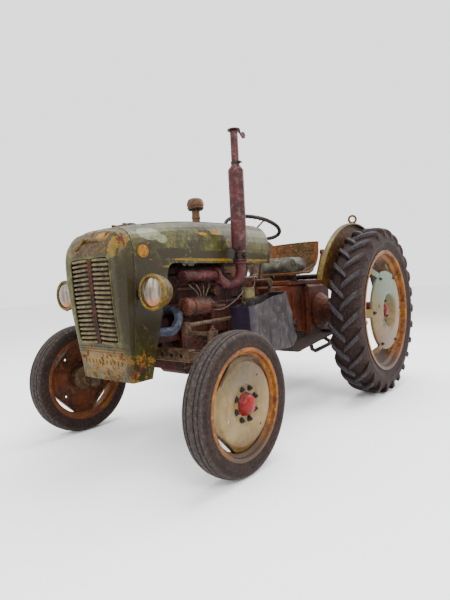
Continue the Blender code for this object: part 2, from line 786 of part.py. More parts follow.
def rain_cap():
    """The flap over the pipe: a disc, its hinge knuckle and a drooping counterweight."""
    low = STACK_TOP + 0.0005
    profile = [(0, low), (CAP_RADIUS, low), (CAP_RADIUS, low + 0.005), (0.014, low + 0.012)]
    profile += [(0, low + 0.013)]
    disc = turned(profile, "Z", (STACK_X, front(STACK_Y), 0), 14)
    x = STACK_X
    hinge_y = front(STACK_Y) + CAP_HINGE
    knuckle = rod(0.005, "X", (0, hinge_y, CAP_HINGE_Z), x - 0.0095, x + 0.0095, 10)
    strap = block((x - 0.009, front(STACK_Y) + 0.02, low + 0.001), (x + 0.009, hinge_y, low + 0.006))
    weight = []
    for index in range(11):
        angle = math.radians(150 - 30 * index)
        reach = TAIL_REACH + TAIL_RADIUS * math.cos(angle)
        weight.append((hinge_y + reach, CAP_HINGE_Z - TAIL_DROP + TAIL_RADIUS * math.sin(angle)))
    outline = [(hinge_y - 0.001, CAP_HINGE_Z - 0.0035), (hinge_y - 0.001, CAP_HINGE_Z + 0.004), *weight]
    tail = prism(outline, "X", x - 0.004, x + 0.004)
    return joined(disc, knuckle, strap, tail)


PRECLEANER_X = -0.195
PRECLEANER_Y = 0.70


def precleaner():
    """The mushroom-topped intake pipe that rises out of the hood's right side."""
    low = TANK_TOP + GAP
    profile = [(0, low), (0.028, low), (0.028, 1.425), (0.058, 1.432), (0.060, 1.475)]
    profile += [(0.050, 1.497), (0.020, 1.508), (0, 1.509)]
    return turned(profile, "Z", (PRECLEANER_X, front(PRECLEANER_Y), 0), 14)


# ---- Driveline ------------------------------------------------------------------------
def build_driveline():
    """Clutch housing, rear housing, axle housings, lift cover, drawbar and PTO shaft."""
    bell = block(
        (-BELL_HALF_WIDTH, front(ENGINE_REAR) + GAP, 0.44), (BELL_HALF_WIDTH, front(BELL_REAR), BELL_TOP), 0.012
    )
    walls = (-BELL_HALF_WIDTH, BELL_HALF_WIDTH)
    pads = [block((x - 0.010, front(0.888), 0.58), (x + 0.010, front(0.968), 0.68)) for x in walls]
    piece("clutch_housing", joined(bell, *pads), "cast_rust")
    piece("rear_housing", rear_housing(), "cast_rust")
    bar = block((-0.04, rear(-0.10), HOUSING_BOTTOM - 0.03), (0.04, rear(0.42), HOUSING_BOTTOM - GAP), 0.004)
    hole = rod(0.013, "Z", (0, rear(0.38), 0), HOUSING_BOTTOM - 0.1, HOUSING_BOTTOM + 0.1, 12)
    bar_top = HOUSING_BOTTOM - GAP
    pad = block((-0.035, rear(0.30), bar_top - 0.004), (0.035, rear(0.412), bar_top + 0.002), 0.0)
    piece("drawbar", cut(joined(bar, pad), hole), "cast_rust")
    shaft = joined(
        rod(0.018, "Y", (0, 0, PTO_Z), rear(0.20) + RUNNING, rear(0.29), 12),
        rod(0.030, "Y", (0, 0, PTO_Z), rear(0.20) + RUNNING, rear(0.215), 12),
    )
    piece("pto_shaft", shaft, "dark_iron", (0, rear(0.20), PTO_Z))
    piece("top_link", top_link(), "dark_iron")


PTO_Z = 0.50


def rear_housing():
    """Gearbox, axle centre and axle housings, with the top link's bracket at the rear."""
    narrow = block((-0.125, front(BELL_REAR) + GAP, 0.45), (0.125, rear(-0.15), HOUSING_TOP), 0.01)
    half = HOUSING_HALF_WIDTH
    centre = block((-half, rear(-0.20), HOUSING_BOTTOM), (half, rear(0.20), HOUSING_TOP), 0.02)
    ears = [
        block((x - 0.006, rear(0.18), 0.74), (x + 0.006, rear(0.245), 0.82), 0.0)
        for x in (-0.026, 0.026)
    ]
    trumpet = axle_housing()
    other = mirrored(trumpet, "trumpet")
    return joined(narrow, centre, trumpet, other, *ears)


def top_link():
    """The top link, stowed upright behind the seat."""
    foot = rod(0.022, "X", (0, rear(0.222), 0.785), -0.0195, 0.0195, 12)
    bar = tube([(0, rear(0.222), 0.785), (0, rear(0.40), 1.13)], 0.013, 10)
    eye = rod(0.024, "X", (0, rear(0.41), 1.15), -0.014, 0.014, 12)
    return joined(foot, bar, eye)


HUB_FACE = 0.124  # from the rear tyre's middle inwards to the wheel hub's face


def axle_housing():
    """The left rear axle housing, which narrows outwards to a flange."""
    end = REAR_TRACK / 2 - HUB_FACE - RUNNING
    start = HOUSING_HALF_WIDTH - 0.01
    profile = [(0, start), (0.150, start), (0.150, start + 0.02), (0.105, start + 0.08)]
    profile += [(0.080, end - 0.06), (0.080, end - 0.02), (0.100, end - 0.02), (0.100, end), (0, end)]
    return turned(profile, "X", (0, REAR_AXLE, REAR_TYRE_RADIUS), 16)


# ---- Wheels ---------------------------------------------------------------------------
def tyre_profile(radius, width, bead, bead_half):
    """A tyre's section: tread, round shoulders, bulged sides and beads."""
    half = width / 2
    tall = radius - bead
    right = [(bead + GAP, bead_half), (bead + 0.18 * tall, bead_half)]
    right += [(bead + 0.45 * tall, half), (bead + 0.80 * tall, half * 0.92)]
    right += [(radius, half * 0.50)]
    return right + [(r, -x) for r, x in reversed(right)]


FRONT_BEAD_HALF = 0.046
FRONT_SIDES = 24  # of a front tyre and its rim, which match
REAR_SIDES = 28
REAR_BEAD_HALF = 0.090


def front_wheel_profile():
    """The front wheel's section: hub, dished disc and drop-centre rim as one pressing."""
    seat = FRONT_RIM_RADIUS - GAP
    lip = FRONT_RIM_RADIUS + 0.016
    out = FRONT_BEAD_HALF + GAP
    wall = 0.005
    inner = seat - wall
    face = [(0, 0.078), (0.030, 0.074), (0.038, 0.046), (0.090, 0.036), (0.150, 0.046)]
    face += [(0.200, 0.038), (inner, 0.010), (inner, out + wall), (lip, out + wall), (lip, out)]
    face += [(seat, out), (seat, -out), (lip, -out), (lip, -out - wall), (inner, -out - wall)]
    face += [(inner, 0.002), (0.197, 0.031), (0.150, 0.040), (0.090, 0.030), (0.046, 0.030)]
    face += [(0.046, -HUB_INNER)]
    bore = STUB_RADIUS + RUNNING
    return face + [(bore, -HUB_INNER), (bore, 0.030), (0, 0.030)]


HUB_INNER = 0.098


def front_wheel():
    """The left front wheel, with four slots in its disc at the rim."""
    centre = (FRONT_TRACK / 2, FRONT_AXLE, FRONT_TYRE_RADIUS)
    wheel = turned(front_wheel_profile(), "X", centre, FRONT_SIDES)
    slots = []
    for quarter in range(4):
        middle = math.radians(44) + quarter * math.pi / 2
        reach = math.radians(17)
        profile = [(0.204, -0.02), (0.220, -0.02), (0.220, 0.06), (0.204, 0.06)]
        slots.append(turned(profile, "X", centre, 4, sweep=(middle - reach, middle + reach)))
    return cut(wheel, *slots)


def front_tyre():
    """The left front tyre."""
    centre = (FRONT_TRACK / 2, FRONT_AXLE, FRONT_TYRE_RADIUS)
    profile = tyre_profile(FRONT_TYRE_RADIUS, FRONT_TYRE_WIDTH, FRONT_RIM_RADIUS, FRONT_BEAD_HALF)
    return turned(profile, "X", centre, FRONT_SIDES)


def rear_tyre():
    """The left rear tyre."""
    centre = (REAR_TRACK / 2, REAR_AXLE, REAR_TYRE_RADIUS)
    profile = tyre_profile(REAR_TYRE_RADIUS, REAR_TYRE_WIDTH, REAR_RIM_RADIUS, REAR_BEAD_HALF)
    return turned(profile, "X", centre, REAR_SIDES)


LUG_COUNT = 6
DISC_RADIUS = 0.295
DISC_EDGE = 0.092  # where the disc's edge lies, outwards from the tyre's middle


def rear_rim():
    """The left rear rim, with the lugs that its disc is bolted to."""
    seat = REAR_RIM_RADIUS - GAP
    lip = REAR_RIM_RADIUS + 0.018
    out = REAR_BEAD_HALF + GAP
    wall = 0.006
    inner = seat - wall
    profile = [(seat, out), (lip, out), (lip, out + wall), (inner, out + wall)]
    profile += [(inner, -out - wall), (lip, -out - wall), (lip, -out), (seat, -out)]
    centre = Vector((REAR_TRACK / 2, REAR_AXLE, REAR_TYRE_RADIUS))
    ring = turned(profile, "X", centre, REAR_SIDES)
    lugs = []
    for index in range(LUG_COUNT):
        low = DISC_EDGE - 0.008
        lug = block((-0.02, -0.028, DISC_RADIUS - 0.045), (low, 0.028, seat - 0.002), 0.0)
        cutter = block((-0.03, -0.05, 0.0), (low - 0.010, 0.05, inner - 0.060))
        lug = cut(lug, cutter)
        turn = 2 * math.pi * (index + 0.5) / LUG_COUNT
        for vert in lug.data.vertices:
            x, y, z = vert.co
            swung = Vector((x, y * math.cos(turn) - z * math.sin(turn), y * math.sin(turn) + z * math.cos(turn)))
            vert.co = centre + swung
        lugs.append(lug)
    return [ring, *lugs]


def rear_wheel():
    """The left rear wheel: rim and dished disc, joined by bolted lugs."""
    return joined(rear_disc(), *rear_rim())


def rear_disc():
    """The left rear wheel's dished disc with its hub."""
    edge = DISC_EDGE
    back = edge - 0.010
    profile = [(0, 0.062), (0.040, 0.056), (0.050, 0.030), (0.115, 0.030), (0.165, 0.106)]
    profile += [(0.195, 0.114), (0.245, 0.112), (DISC_RADIUS, edge), (DISC_RADIUS, back), (0.240, back)]
    profile += [(0.232, 0.101), (0.197, 0.104), (0.173, 0.097), (0.125, 0.020), (0.060, 0.020)]
    profile += [(0.055, -HUB_FACE), (0, -HUB_FACE)]
    centre = (REAR_TRACK / 2, REAR_AXLE, REAR_TYRE_RADIUS)
    return turned(profile, "X", centre, 20)


def build_wheels():
    """Tyres, rims, discs and hubs of all four wheels."""
    front_centre = (FRONT_TRACK / 2, FRONT_AXLE, FRONT_TYRE_RADIUS)
    rear_centre = (REAR_TRACK / 2, REAR_AXLE, REAR_TYRE_RADIUS)
    both_sides("front_tyre", front_tyre, "rubber", front_centre)
    both_sides("front_wheel", front_wheel, "disc_cream", front_centre)
    both_sides("rear_tyre", rear_tyre, "rubber", rear_centre)
    both_sides("rear_wheel", rear_wheel, "disc_cream", rear_centre)


# ---- Front axle and steering ----------------------------------------------------------
def axle_beam():
    """The front axle's middle beam, bored for its pivot and for its adjusting bolts."""
    beam = block(
        (-BEAM_HALF, front(-BEAM_HALF_DEPTH), BEAM_BOTTOM), (BEAM_HALF, front(BEAM_HALF_DEPTH), BEAM_TOP), 0.006
    )
    ends = (front(-0.1), front(0.1))
    bores = [rod(0.022 + RUNNING, "Y", (0, 0, BEAM_MIDDLE), *ends, 16)]
    for x in (0.162, 0.235, 0.306):
        bores += [rod(0.012, "Y", (s * x, 0, BEAM_MIDDLE), *ends, 8) for s in (-1, 1)]
    return cut(beam, *bores)


HOUSING_LOW = 0.475
HOUSING_HIGH = 0.630


def axle_arm():
    """The left axle arm, bolted behind the beam, with the kingpin's housing at its end."""
    behind = BEAM_HALF_DEPTH - 0.008
    bar = block((0.26, front(behind), BEAM_BOTTOM + 0.008), (KINGPIN_X, front(behind + 0.030), BEAM_TOP - 0.008))
    head = block(
        (BEAM_HALF - 0.01, front(-0.018), BEAM_BOTTOM + 0.012), (KINGPIN_X, front(behind + 0.024), BEAM_TOP - 0.012)
    )
    bush = rod(0.030, "Z", (KINGPIN_X, FRONT_AXLE, 0), HOUSING_LOW, HOUSING_HIGH, 16)
    bore = rod(KINGPIN_RADIUS + RUNNING, "Z", (KINGPIN_X, FRONT_AXLE, 0), 0.4, 0.7, 24)
    return cut(joined(bar, head, bush), bore)


def knuckle():
    """The left kingpin with its stub axle below and its steering arm above."""
    pin = rod(KINGPIN_RADIUS, "Z", (KINGPIN_X, FRONT_AXLE, 0), 0.37, 0.665, 24)
    low = FRONT_TYRE_RADIUS
    collar = rod(0.027, "Z", (KINGPIN_X, FRONT_AXLE, 0), low - 0.038, HOUSING_LOW - RUNNING, 14)
    reach = FRONT_TRACK / 2 + 0.025
    stub = rod(STUB_RADIUS, "X", (0, FRONT_AXLE, low), KINGPIN_X - 0.012, reach, FRONT_SIDES)
    shoulder = rod(0.033, "X", (0, FRONT_AXLE, low), KINGPIN_X - 0.004, FRONT_TRACK / 2 - HUB_INNER - RUNNING, 16)
    boss = rod(0.026, "Z", (KINGPIN_X, FRONT_AXLE, 0), HOUSING_HIGH + RUNNING, 0.676, 16)
    eye_x = KINGPIN_X - STEERING_ARM
    arm = block((eye_x, front(-0.011), 0.652), (KINGPIN_X, front(0.011), 0.670), 0.003)
    eye = rod(0.019, "Z", (eye_x, FRONT_AXLE, 0), 0.640, STEERING_EYE_TOP, 12)
    return joined(pin, collar, stub, shoulder, boss, arm, eye)


def radius_rod():
    """The left radius rod, from the axle arm back to the clutch housing."""
    root = front(BEAM_HALF_DEPTH + 0.022) + 2 * GAP
    end_x = BELL_HALF_WIDTH + ROD_RADIUS + GAP
    path = [(0.395, root, 0.535), (0.395, root + 0.03, 0.535), (0.390, root + 0.08, 0.468)]
    path += [(end_x + 0.02, front(0.86), 0.428), (end_x, front(0.90), 0.450), (end_x, front(0.96), 0.46)]
    return tube(path, ROD_RADIUS, 10)


ROD_RADIUS = 0.0165
DRAG_Z = DROP_SHAFT_Z - DROP_ARM
DROP_ARM_X = 0.196


def drop_arm():
    """The left drop arm, which hangs from the steering cross-shaft."""
    y = front(DROP_SHAFT_Y)
    x = DROP_ARM_X
    bar = block((x, y - 0.012, DRAG_Z), (x + 0.014, y + 0.012, DROP_SHAFT_Z), 0.0)
    top = rod(0.028, "X", (0, y, DROP_SHAFT_Z), x, x + 0.018, 14)
    foot = rod(0.020, "X", (0, y, DRAG_Z), x, x + 0.019, 14)
    return joined(bar, top, foot)


def drag_link():
    """The left drag link, from the drop arm's foot forward to the steering arm's eye."""
    y = front(DROP_SHAFT_Y)
    x = DROP_ARM_X + 0.019 + RUNNING
    rear_eye = rod(0.019, "X", (0, y, DRAG_Z), x, x + 0.020, 14)
    eye_x = KINGPIN_X - STEERING_ARM
    front_eye = rod(0.017, "Z", (eye_x, FRONT_AXLE, 0), STEERING_EYE_TOP + RUNNING, DRAG_Z + 0.016, 12)
    bar = tube([(x + 0.0125, y, DRAG_Z), (eye_x, FRONT_AXLE, DRAG_Z)], 0.0115, 10)
    return joined(rear_eye, front_eye, bar)


WHEEL_AXIS = Vector((0, math.sin(COLUMN_TILT), math.cos(COLUMN_TILT)))
HUB_DROP = 0.045  # from the rim's plane down to the column's top


def steering_column():
    """The steering box on the clutch housing, its cross-shaft and the column."""
    y = front(DROP_SHAFT_Y)
    box = block((-0.075, y - 0.135, BELL_TOP + GAP), (0.075, y + 0.055, 0.945), 0.01)
    shaft_end = DROP_ARM_X - RUNNING
    shaft = rod(0.026, "X", (0, y, DROP_SHAFT_Z), -shaft_end, shaft_end, 14)
    top = wheel_centre() - WHEEL_AXIS * HUB_DROP
    foot = top - WHEEL_AXIS * ((top.z - 0.935) / WHEEL_AXIS.z)
    column = tube([foot, top], 0.019, 12)
    return joined(box, shaft, column)


def wheel_centre():
    """The middle of the steering wheel's rim."""
    return Vector((0, front(STEERING_WHEEL_Y), STEERING_WHEEL_Z))


def steering_wheel():
    """The steering wheel: round rim, three spokes and hub, tilted with the column."""
    grip = 0.0135
    major = STEERING_WHEEL_RADIUS - grip
    section = []
    for k in range(6):
        t = 2 * math.pi * k / 6
        section.append((major + grip * math.cos(t), grip * math.sin(t)))
    rim = turned(section, "Z", (0, 0, 0), 24)
    hub = turned(
        [(0, -HUB_DROP + RUNNING), (0.026, -HUB_DROP + RUNNING), (0.030, -0.012), (0.022, 0.0), (0, 0.003)],
        "Z", (0, 0, 0), 16,
    )
    spokes = []
    for index in range(3):
        t = math.pi / 2 + 2 * math.pi * index / 3
        ahead = Vector((math.cos(t), math.sin(t), 0))
        spokes.append(tube([ahead * 0.01 + Vector((0, 0, -0.016)), ahead * major], 0.007, 8))
    wheel = joined(rim, hub, *spokes)
    tilt = Vector((0, 0, 1)).rotation_difference(WHEEL_AXIS).to_matrix()
    for vert in wheel.data.vertices:
        vert.co = tilt @ vert.co + wheel_centre()
    return wheel


def build_steering():
    """Front axle, knuckles, rods, steering column and wheel."""
    arms = axle_arm()
    other_arms = mirrored(arms, "arm")
    axle = joined(axle_beam(), arms, other_arms)
    piece("front_axle", axle, "cast_rust", (0, FRONT_AXLE, BEAM_MIDDLE))
    both_sides("knuckle", knuckle, "red_iron", (KINGPIN_X, FRONT_AXLE, FRONT_TYRE_RADIUS))
    both_sides("radius_rod", radius_rod, "cast_rust")
    y = front(DROP_SHAFT_Y)
    both_sides("drop_arm", drop_arm, "dark_iron", (DROP_ARM_X, y, DROP_SHAFT_Z))
    both_sides("drag_link", drag_link, "dark_iron", (DROP_ARM_X, y, DRAG_Z))
    piece("steering_column", steering_column(), "dark_iron")
    piece("steering_wheel", steering_wheel(), "wheel_brown", wheel_centre())


# ---- Driver's place -------------------------------------------------------------------
SEAT_FRONT = -0.43
SEAT_REAR = -0.10
SEAT_HALF = 0.225
SEAT_BACK_TOP = 1.205


def seat_pan():
    """The pressed seat: a floor with a rolled lip, side wings and a low back."""
    spine = [(SEAT_FRONT, SEAT_PLATE - 0.004), (SEAT_FRONT + 0.03, SEAT_PLATE + 0.004)]
    spine += [(SEAT_REAR - 0.07, SEAT_PLATE + 0.004), (SEAT_REAR - 0.035, SEAT_PLATE + 0.014)]
    spine += [(SEAT_REAR - 0.020, SEAT_PLATE + 0.05), (SEAT_REAR, SEAT_BACK_TOP)]
    lifts = [0.0, 0.012, 0.085, 0.13, 0.14, 0.0]
    columns = [(-1.0, 1.0), (-0.94, 0.65), (-0.82, 0.1), (-0.72, 0.0), (0.72, 0.0), (0.82, 0.1)]
    columns += [(0.94, 0.65), (1.0, 1.0)]
    rows = []
    for (station, height), lift in zip(spine, lifts):
        row = []
        for share, edge in columns:
            row.append((share * SEAT_HALF, rear(station), height + lift * edge))
        rows.append(row)
    return sheet(rows, SHEET)


def cushion():
    """The seat's pad."""
    low = SEAT_PLATE + 0.004 + SHEET / 2 + GAP
    return block(
        (-0.16, rear(SEAT_FRONT + 0.03), low), (0.16, rear(SEAT_REAR - 0.08), low + 0.110), 0.022
    )


def fender():
    """The left rear fender: a flat inner plate with a narrow crown over the tyre."""
    outer = FENDER_RADIUS
    near = FENDER_X
    far = FENDER_X + FENDER_LIP
    profile = [(0.42, near), (outer, near), (outer, far), (outer - SHEET, far)]
    profile += [(outer - SHEET, near + SHEET), (0.42, near + SHEET)]
    centre = (0, REAR_AXLE, REAR_TYRE_RADIUS)
    sweep = (math.radians(22), math.radians(158))
    wing = turned(profile, "X", centre, 20, sweep=sweep)
    seat_z = REAR_TYRE_RADIUS + 0.100 + GAP
    flange = REAR_TRACK / 2 - HUB_FACE - 0.02
    foot = block((flange + 0.002, rear(-0.05), seat_z), (flange + 0.014, rear(0.05), seat_z + 0.02))
    stay = block((near + 0.0005, rear(-0.05), seat_z), (near + 0.0025, rear(0.05), seat_z + 0.35))
    web = block((near + 0.0005, rear(-0.05), seat_z), (flange + 0.014, rear(0.05), seat_z + 0.006))
    return joined(wing, stay, web, foot)


def footboard():
    """The left footboard, sloping up to the rear, with its two bars and its bent tube."""
    inner = 0.245
    outer = 0.415
    y0 = front(0.97)
    y1 = front(1.52)
    outline = [(y0, 0.420), (y1, 0.480), (y1, 0.486), (y0, 0.426)]
    board = prism(outline, "X", inner, outer)
    bars = []
    for y, root in ((front(1.03), BELL_HALF_WIDTH + GAP), (front(1.36), 0.125 + GAP)):
        z = 0.420 + (y - y0) / (y1 - y0) * 0.06
        bars.append(block((inner - 0.005, y - 0.018, z - 0.012), (outer - 0.02, y + 0.018, z + 0.003)))
        bars.append(block((root, y - 0.014, z - 0.010), (inner + 0.01, y + 0.014, z + 0.050)))
    return joined(board, *bars, step_tube())


def step_tube():
    """The bent tube under the left footboard, which braces it to the rear housing."""
    path = [(0.335, front(1.285), 0.452), (0.335, front(1.315), 0.385), (0.335, front(1.365), 0.366)]
    path += [(0.335, front(1.60), 0.385), (0.310, front(1.66), 0.398)]
    path += [(0.24, front(1.69), 0.425), (HOUSING_HALF_WIDTH + GAP, front(1.69), 0.425)]
    return tube(path, 0.015, 8)


def clutch_pedal():
    """The left pedal: a bent arm from the gearbox with a flat pad."""
    path = [(0.125 + GAP, front(1.20), 0.60), (0.26, front(1.20), 0.60), (0.285, front(1.15), 0.62)]
    path += [(0.29, front(1.07), 0.665)]
    arm = tube(path, 0.010, 8)
    pad = block((0.255, front(1.03), 0.655), (0.325, front(1.075), 0.680), 0.003)
    return joined(arm, pad)


def build_cockpit():
    """Seat, fenders, footboards, levers and the tub on the left side."""
    piece("seat_pan", seat_pan(), "hood_green")
    piece("seat_cushion", cushion(), "cushion")
    post = block((-0.05, rear(-0.36), COVER_TOP - 0.005), (0.05, rear(-0.18), SEAT_PLATE + 0.004 - SHEET / 2 - GAP), 0.0)
    cover = joined(lift_cover(), post, *quadrant())
    piece("lift_cover", cover, "cast_rust")
    both_sides("fender", fender, "hood_green")
    both_sides("footboard", footboard, "cast_rust")
    both_sides("pedal", clutch_pedal, "dark_iron")
    knob = (0, front(1.21), 1.145)
    lever = joined(
        tube([(0, front(1.16), HOUSING_TOP + GAP), (0, front(1.16), 0.93), knob], 0.009, 8),
        turned([(0, -0.02), (0.018, -0.012), (0.018, 0.010), (0, 0.018)], "Z", knob, 12),
    )
    piece("gear_lever", lever, "dark_iron")
    piece("side_tub", side_tub(), "galvanised")


def lift_cover():
    """The flat cover of the lift on the rear housing."""
    return block((-0.14, rear(-0.45), HOUSING_TOP + GAP), (0.14, rear(0.17), COVER_TOP), 0.008)


def quadrant():
    """The lift's control: an upright plate on the right of the cover, with its lever."""
    x = -0.105
    plate = block((x - 0.004, rear(-0.08), COVER_TOP - 0.005), (x + 0.004, rear(0.04), 0.99))
    path = [(x - 0.008, rear(-0.02), 0.93), (x - 0.012, rear(0.0), 1.02), (x - 0.015, rear(0.05), 1.14)]
    return [plate, tube(path, 0.008, 8)]


def tub_outline(wall):
    """The tub's side view, as (y, z) points, moved in by a wall except at the open top."""
    corners = [(0.372, 0.765), (0.780, 0.842), (0.885, 0.535), (0.845, TUB_FLOOR), (0.420, TUB_FLOOR)]
    points = [Vector((front(y), z)) for y, z in corners]
    count = len(points)
    lines = []
    for i in range(count):
        start, end = points[i], points[(i + 1) % count]
        ahead = (end - start).normalized()
        inward = Vector((ahead.y, -ahead.x))
        shift = -0.05 if (i == 0 and wall) else wall
        lines.append((start + inward * shift, ahead))
    outline = []
    for i in range(count):
        (p, d), (q, e) = lines[i - 1], lines[i]
        reach = (q - p).cross(e) / d.cross(e)
        outline.append(tuple(p + d * reach))
    return outline


def side_tub():
    """The open tub on the left side, with the bars that carry it."""
    outer = prism(tub_outline(0.0), "X", TUB_INNER_X, TUB_OUTER_X)
    inner = prism(tub_outline(SHEET), "X", TUB_INNER_X + SHEET, TUB_OUTER_X - SHEET)
    return joined(cut(outer, inner), *tub_bracket())


def tub_bracket():
    """Two flat bars from the engine's side that carry the tub."""
    high = TUB_FLOOR + 0.001
    low = high - 0.009
    root = ENGINE_HALF_WIDTH + GAP
    bars = [block((root, front(y - 0.02), low), (TUB_OUTER_X - 0.02, front(y + 0.02), high)) for y in (0.47, 0.64)]
    rail = block((root, front(0.44), low), (root + 0.02, front(0.67), high + 0.05))
    return [rail, *bars]


# ---- Three-point lift -----------------------------------------------------------------
LINK_END = LENGTH / 2 - LINK_BALL
LINK_LENGTH = LINK_END - rear(LINK_PIVOT_Y)
LINK_EYE = 0.55  # share of the link's length at which its lift rod stands
LINK_EYE_Y = rear(LINK_PIVOT_Y) + LINK_EYE * LINK_LENGTH
LIFT_SHAFT_Z = COVER_TOP + LIFT_SHAFT_RADIUS + RUNNING
ARM_TIP_Z = LIFT_SHAFT_Z - 0.10
ARM_X = 0.172
ROD_X = 0.2075
LINK_WIDTH = 0.024


def lift_arms():
    """The lift's cross-shaft with an arm at each end."""
    y = rear(LIFT_SHAFT_Y)
    parts = [rod(LIFT_SHAFT_RADIUS, "X", (0, y, LIFT_SHAFT_Z), -ARM_X - 0.01, ARM_X + 0.01, 24)]
    for side in (-1, 1):
        low, high = sorted((side * ARM_X, side * (ARM_X + 0.018)))
        slope = Vector((0, LINK_EYE_Y - y, ARM_TIP_Z - LIFT_SHAFT_Z)).normalized()
        across = Vector((0, -slope.z, slope.y)) * 0.020
        start = Vector((0, y, LIFT_SHAFT_Z))
        end = Vector((0, LINK_EYE_Y, ARM_TIP_Z))
        corners = [start + across, end + across * 0.7, end - across * 0.7, start - across]
        parts.append(prism([(c.y, c.z) for c in corners], "X", low, high))
        parts.append(rod(0.032, "X", (0, y, LIFT_SHAFT_Z), low, high, 14))
        tip_low, tip_high = sorted((side * ARM_X, side * (ROD_X - 0.010 - RUNNING)))
        parts.append(rod(0.018, "X", (0, LINK_EYE_Y, ARM_TIP_Z), tip_low, tip_high, 12))
    return joined(*parts)


def lift_rod():
    """The left lift rod, from the arm's tip down to the lower link."""
    ends = (ROD_X - 0.010, ROD_X + 0.010)
    top = rod(0.018, "X", (0, LINK_EYE_Y, ARM_TIP_Z), *ends, 12)
    foot = rod(0.018, "X", (0, LINK_EYE_Y, LINK_PIVOT_Z), *ends, 12)
    bar = rod(0.0095, "Z", (ROD_X, LINK_EYE_Y, 0), LINK_PIVOT_Z, ARM_TIP_Z, 10)
    sleeve = rod(0.0098, "Z", (ROD_X, LINK_EYE_Y, 0), LINK_PIVOT_Z + 0.10, ARM_TIP_Z - 0.08, 10)
    return joined(top, foot, bar, sleeve)


def lower_link():
    """The left lower link: a flat bar with a pivot in front and a ball eye behind."""
    y = rear(LINK_PIVOT_Y)
    z = LINK_PIVOT_Z
    high = LINK_X + LINK_WIDTH
    bar = block((LINK_X, y, z - 0.016), (high, LINK_END, z + 0.016), 0.004)
    pivot = rod(0.020, "X", (0, y, z), HOUSING_HALF_WIDTH + RUNNING, high, 14)
    ball = rod(LINK_BALL, "X", (0, LINK_END, z), LINK_X - 0.006, high + 0.006, 16)
    boss = rod(0.018, "X", (0, LINK_EYE_Y, z), ROD_X + 0.010 + RUNNING, high, 12)
    return joined(bar, pivot, ball, boss)


def build_lift():
    """The three-point lift behind the rear axle."""
    piece("lift_arms", lift_arms(), "dark_iron", (0, rear(LIFT_SHAFT_Y), LIFT_SHAFT_Z))
    both_sides("lift_rod", lift_rod, "dark_iron", (ROD_X, LINK_EYE_Y, ARM_TIP_Z))
    both_sides("lower_link", lower_link, "dark_iron", (LINK_X, rear(LINK_PIVOT_Y), LINK_PIVOT_Z))


def build():
    """The whole tractor."""
    for obj in list(bpy.data.objects):
        bpy.data.objects.remove(obj)
    build_hood()
    both_sides("headlight", headlight, "rim_orange")
    build_engine()
    build_driveline()
    build_wheels()
    build_steering()
    build_cockpit()
    build_lift()
    drill_hood_for_intake()


def drill_hood_for_intake():
    """The hole in the right hood side that the intake pipe rises through."""
    hood = bpy.data.objects["hood_side_right"]
    hole = rod(0.028 + RUNNING, "Z", (PRECLEANER_X, front(PRECLEANER_Y), 0), 1.1, 1.4, 14)
    cut(hood, hole)


build()
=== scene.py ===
"""Looks of the farm tractor: worn paint, rust, rubber and fine detail round the CAD frame.

The shared frame is used throughout: metres, +Z up, the front faces -Y and the tractor's left
side is +X. Each sub-assembly is a class that builds its meshes and dresses them.
"""

from __future__ import annotations

import sys

import json
import logging
from dataclasses import dataclass, field
from enum import Enum
from math import cos, pi, radians, remainder, sin
from typing import Iterable, Sequence

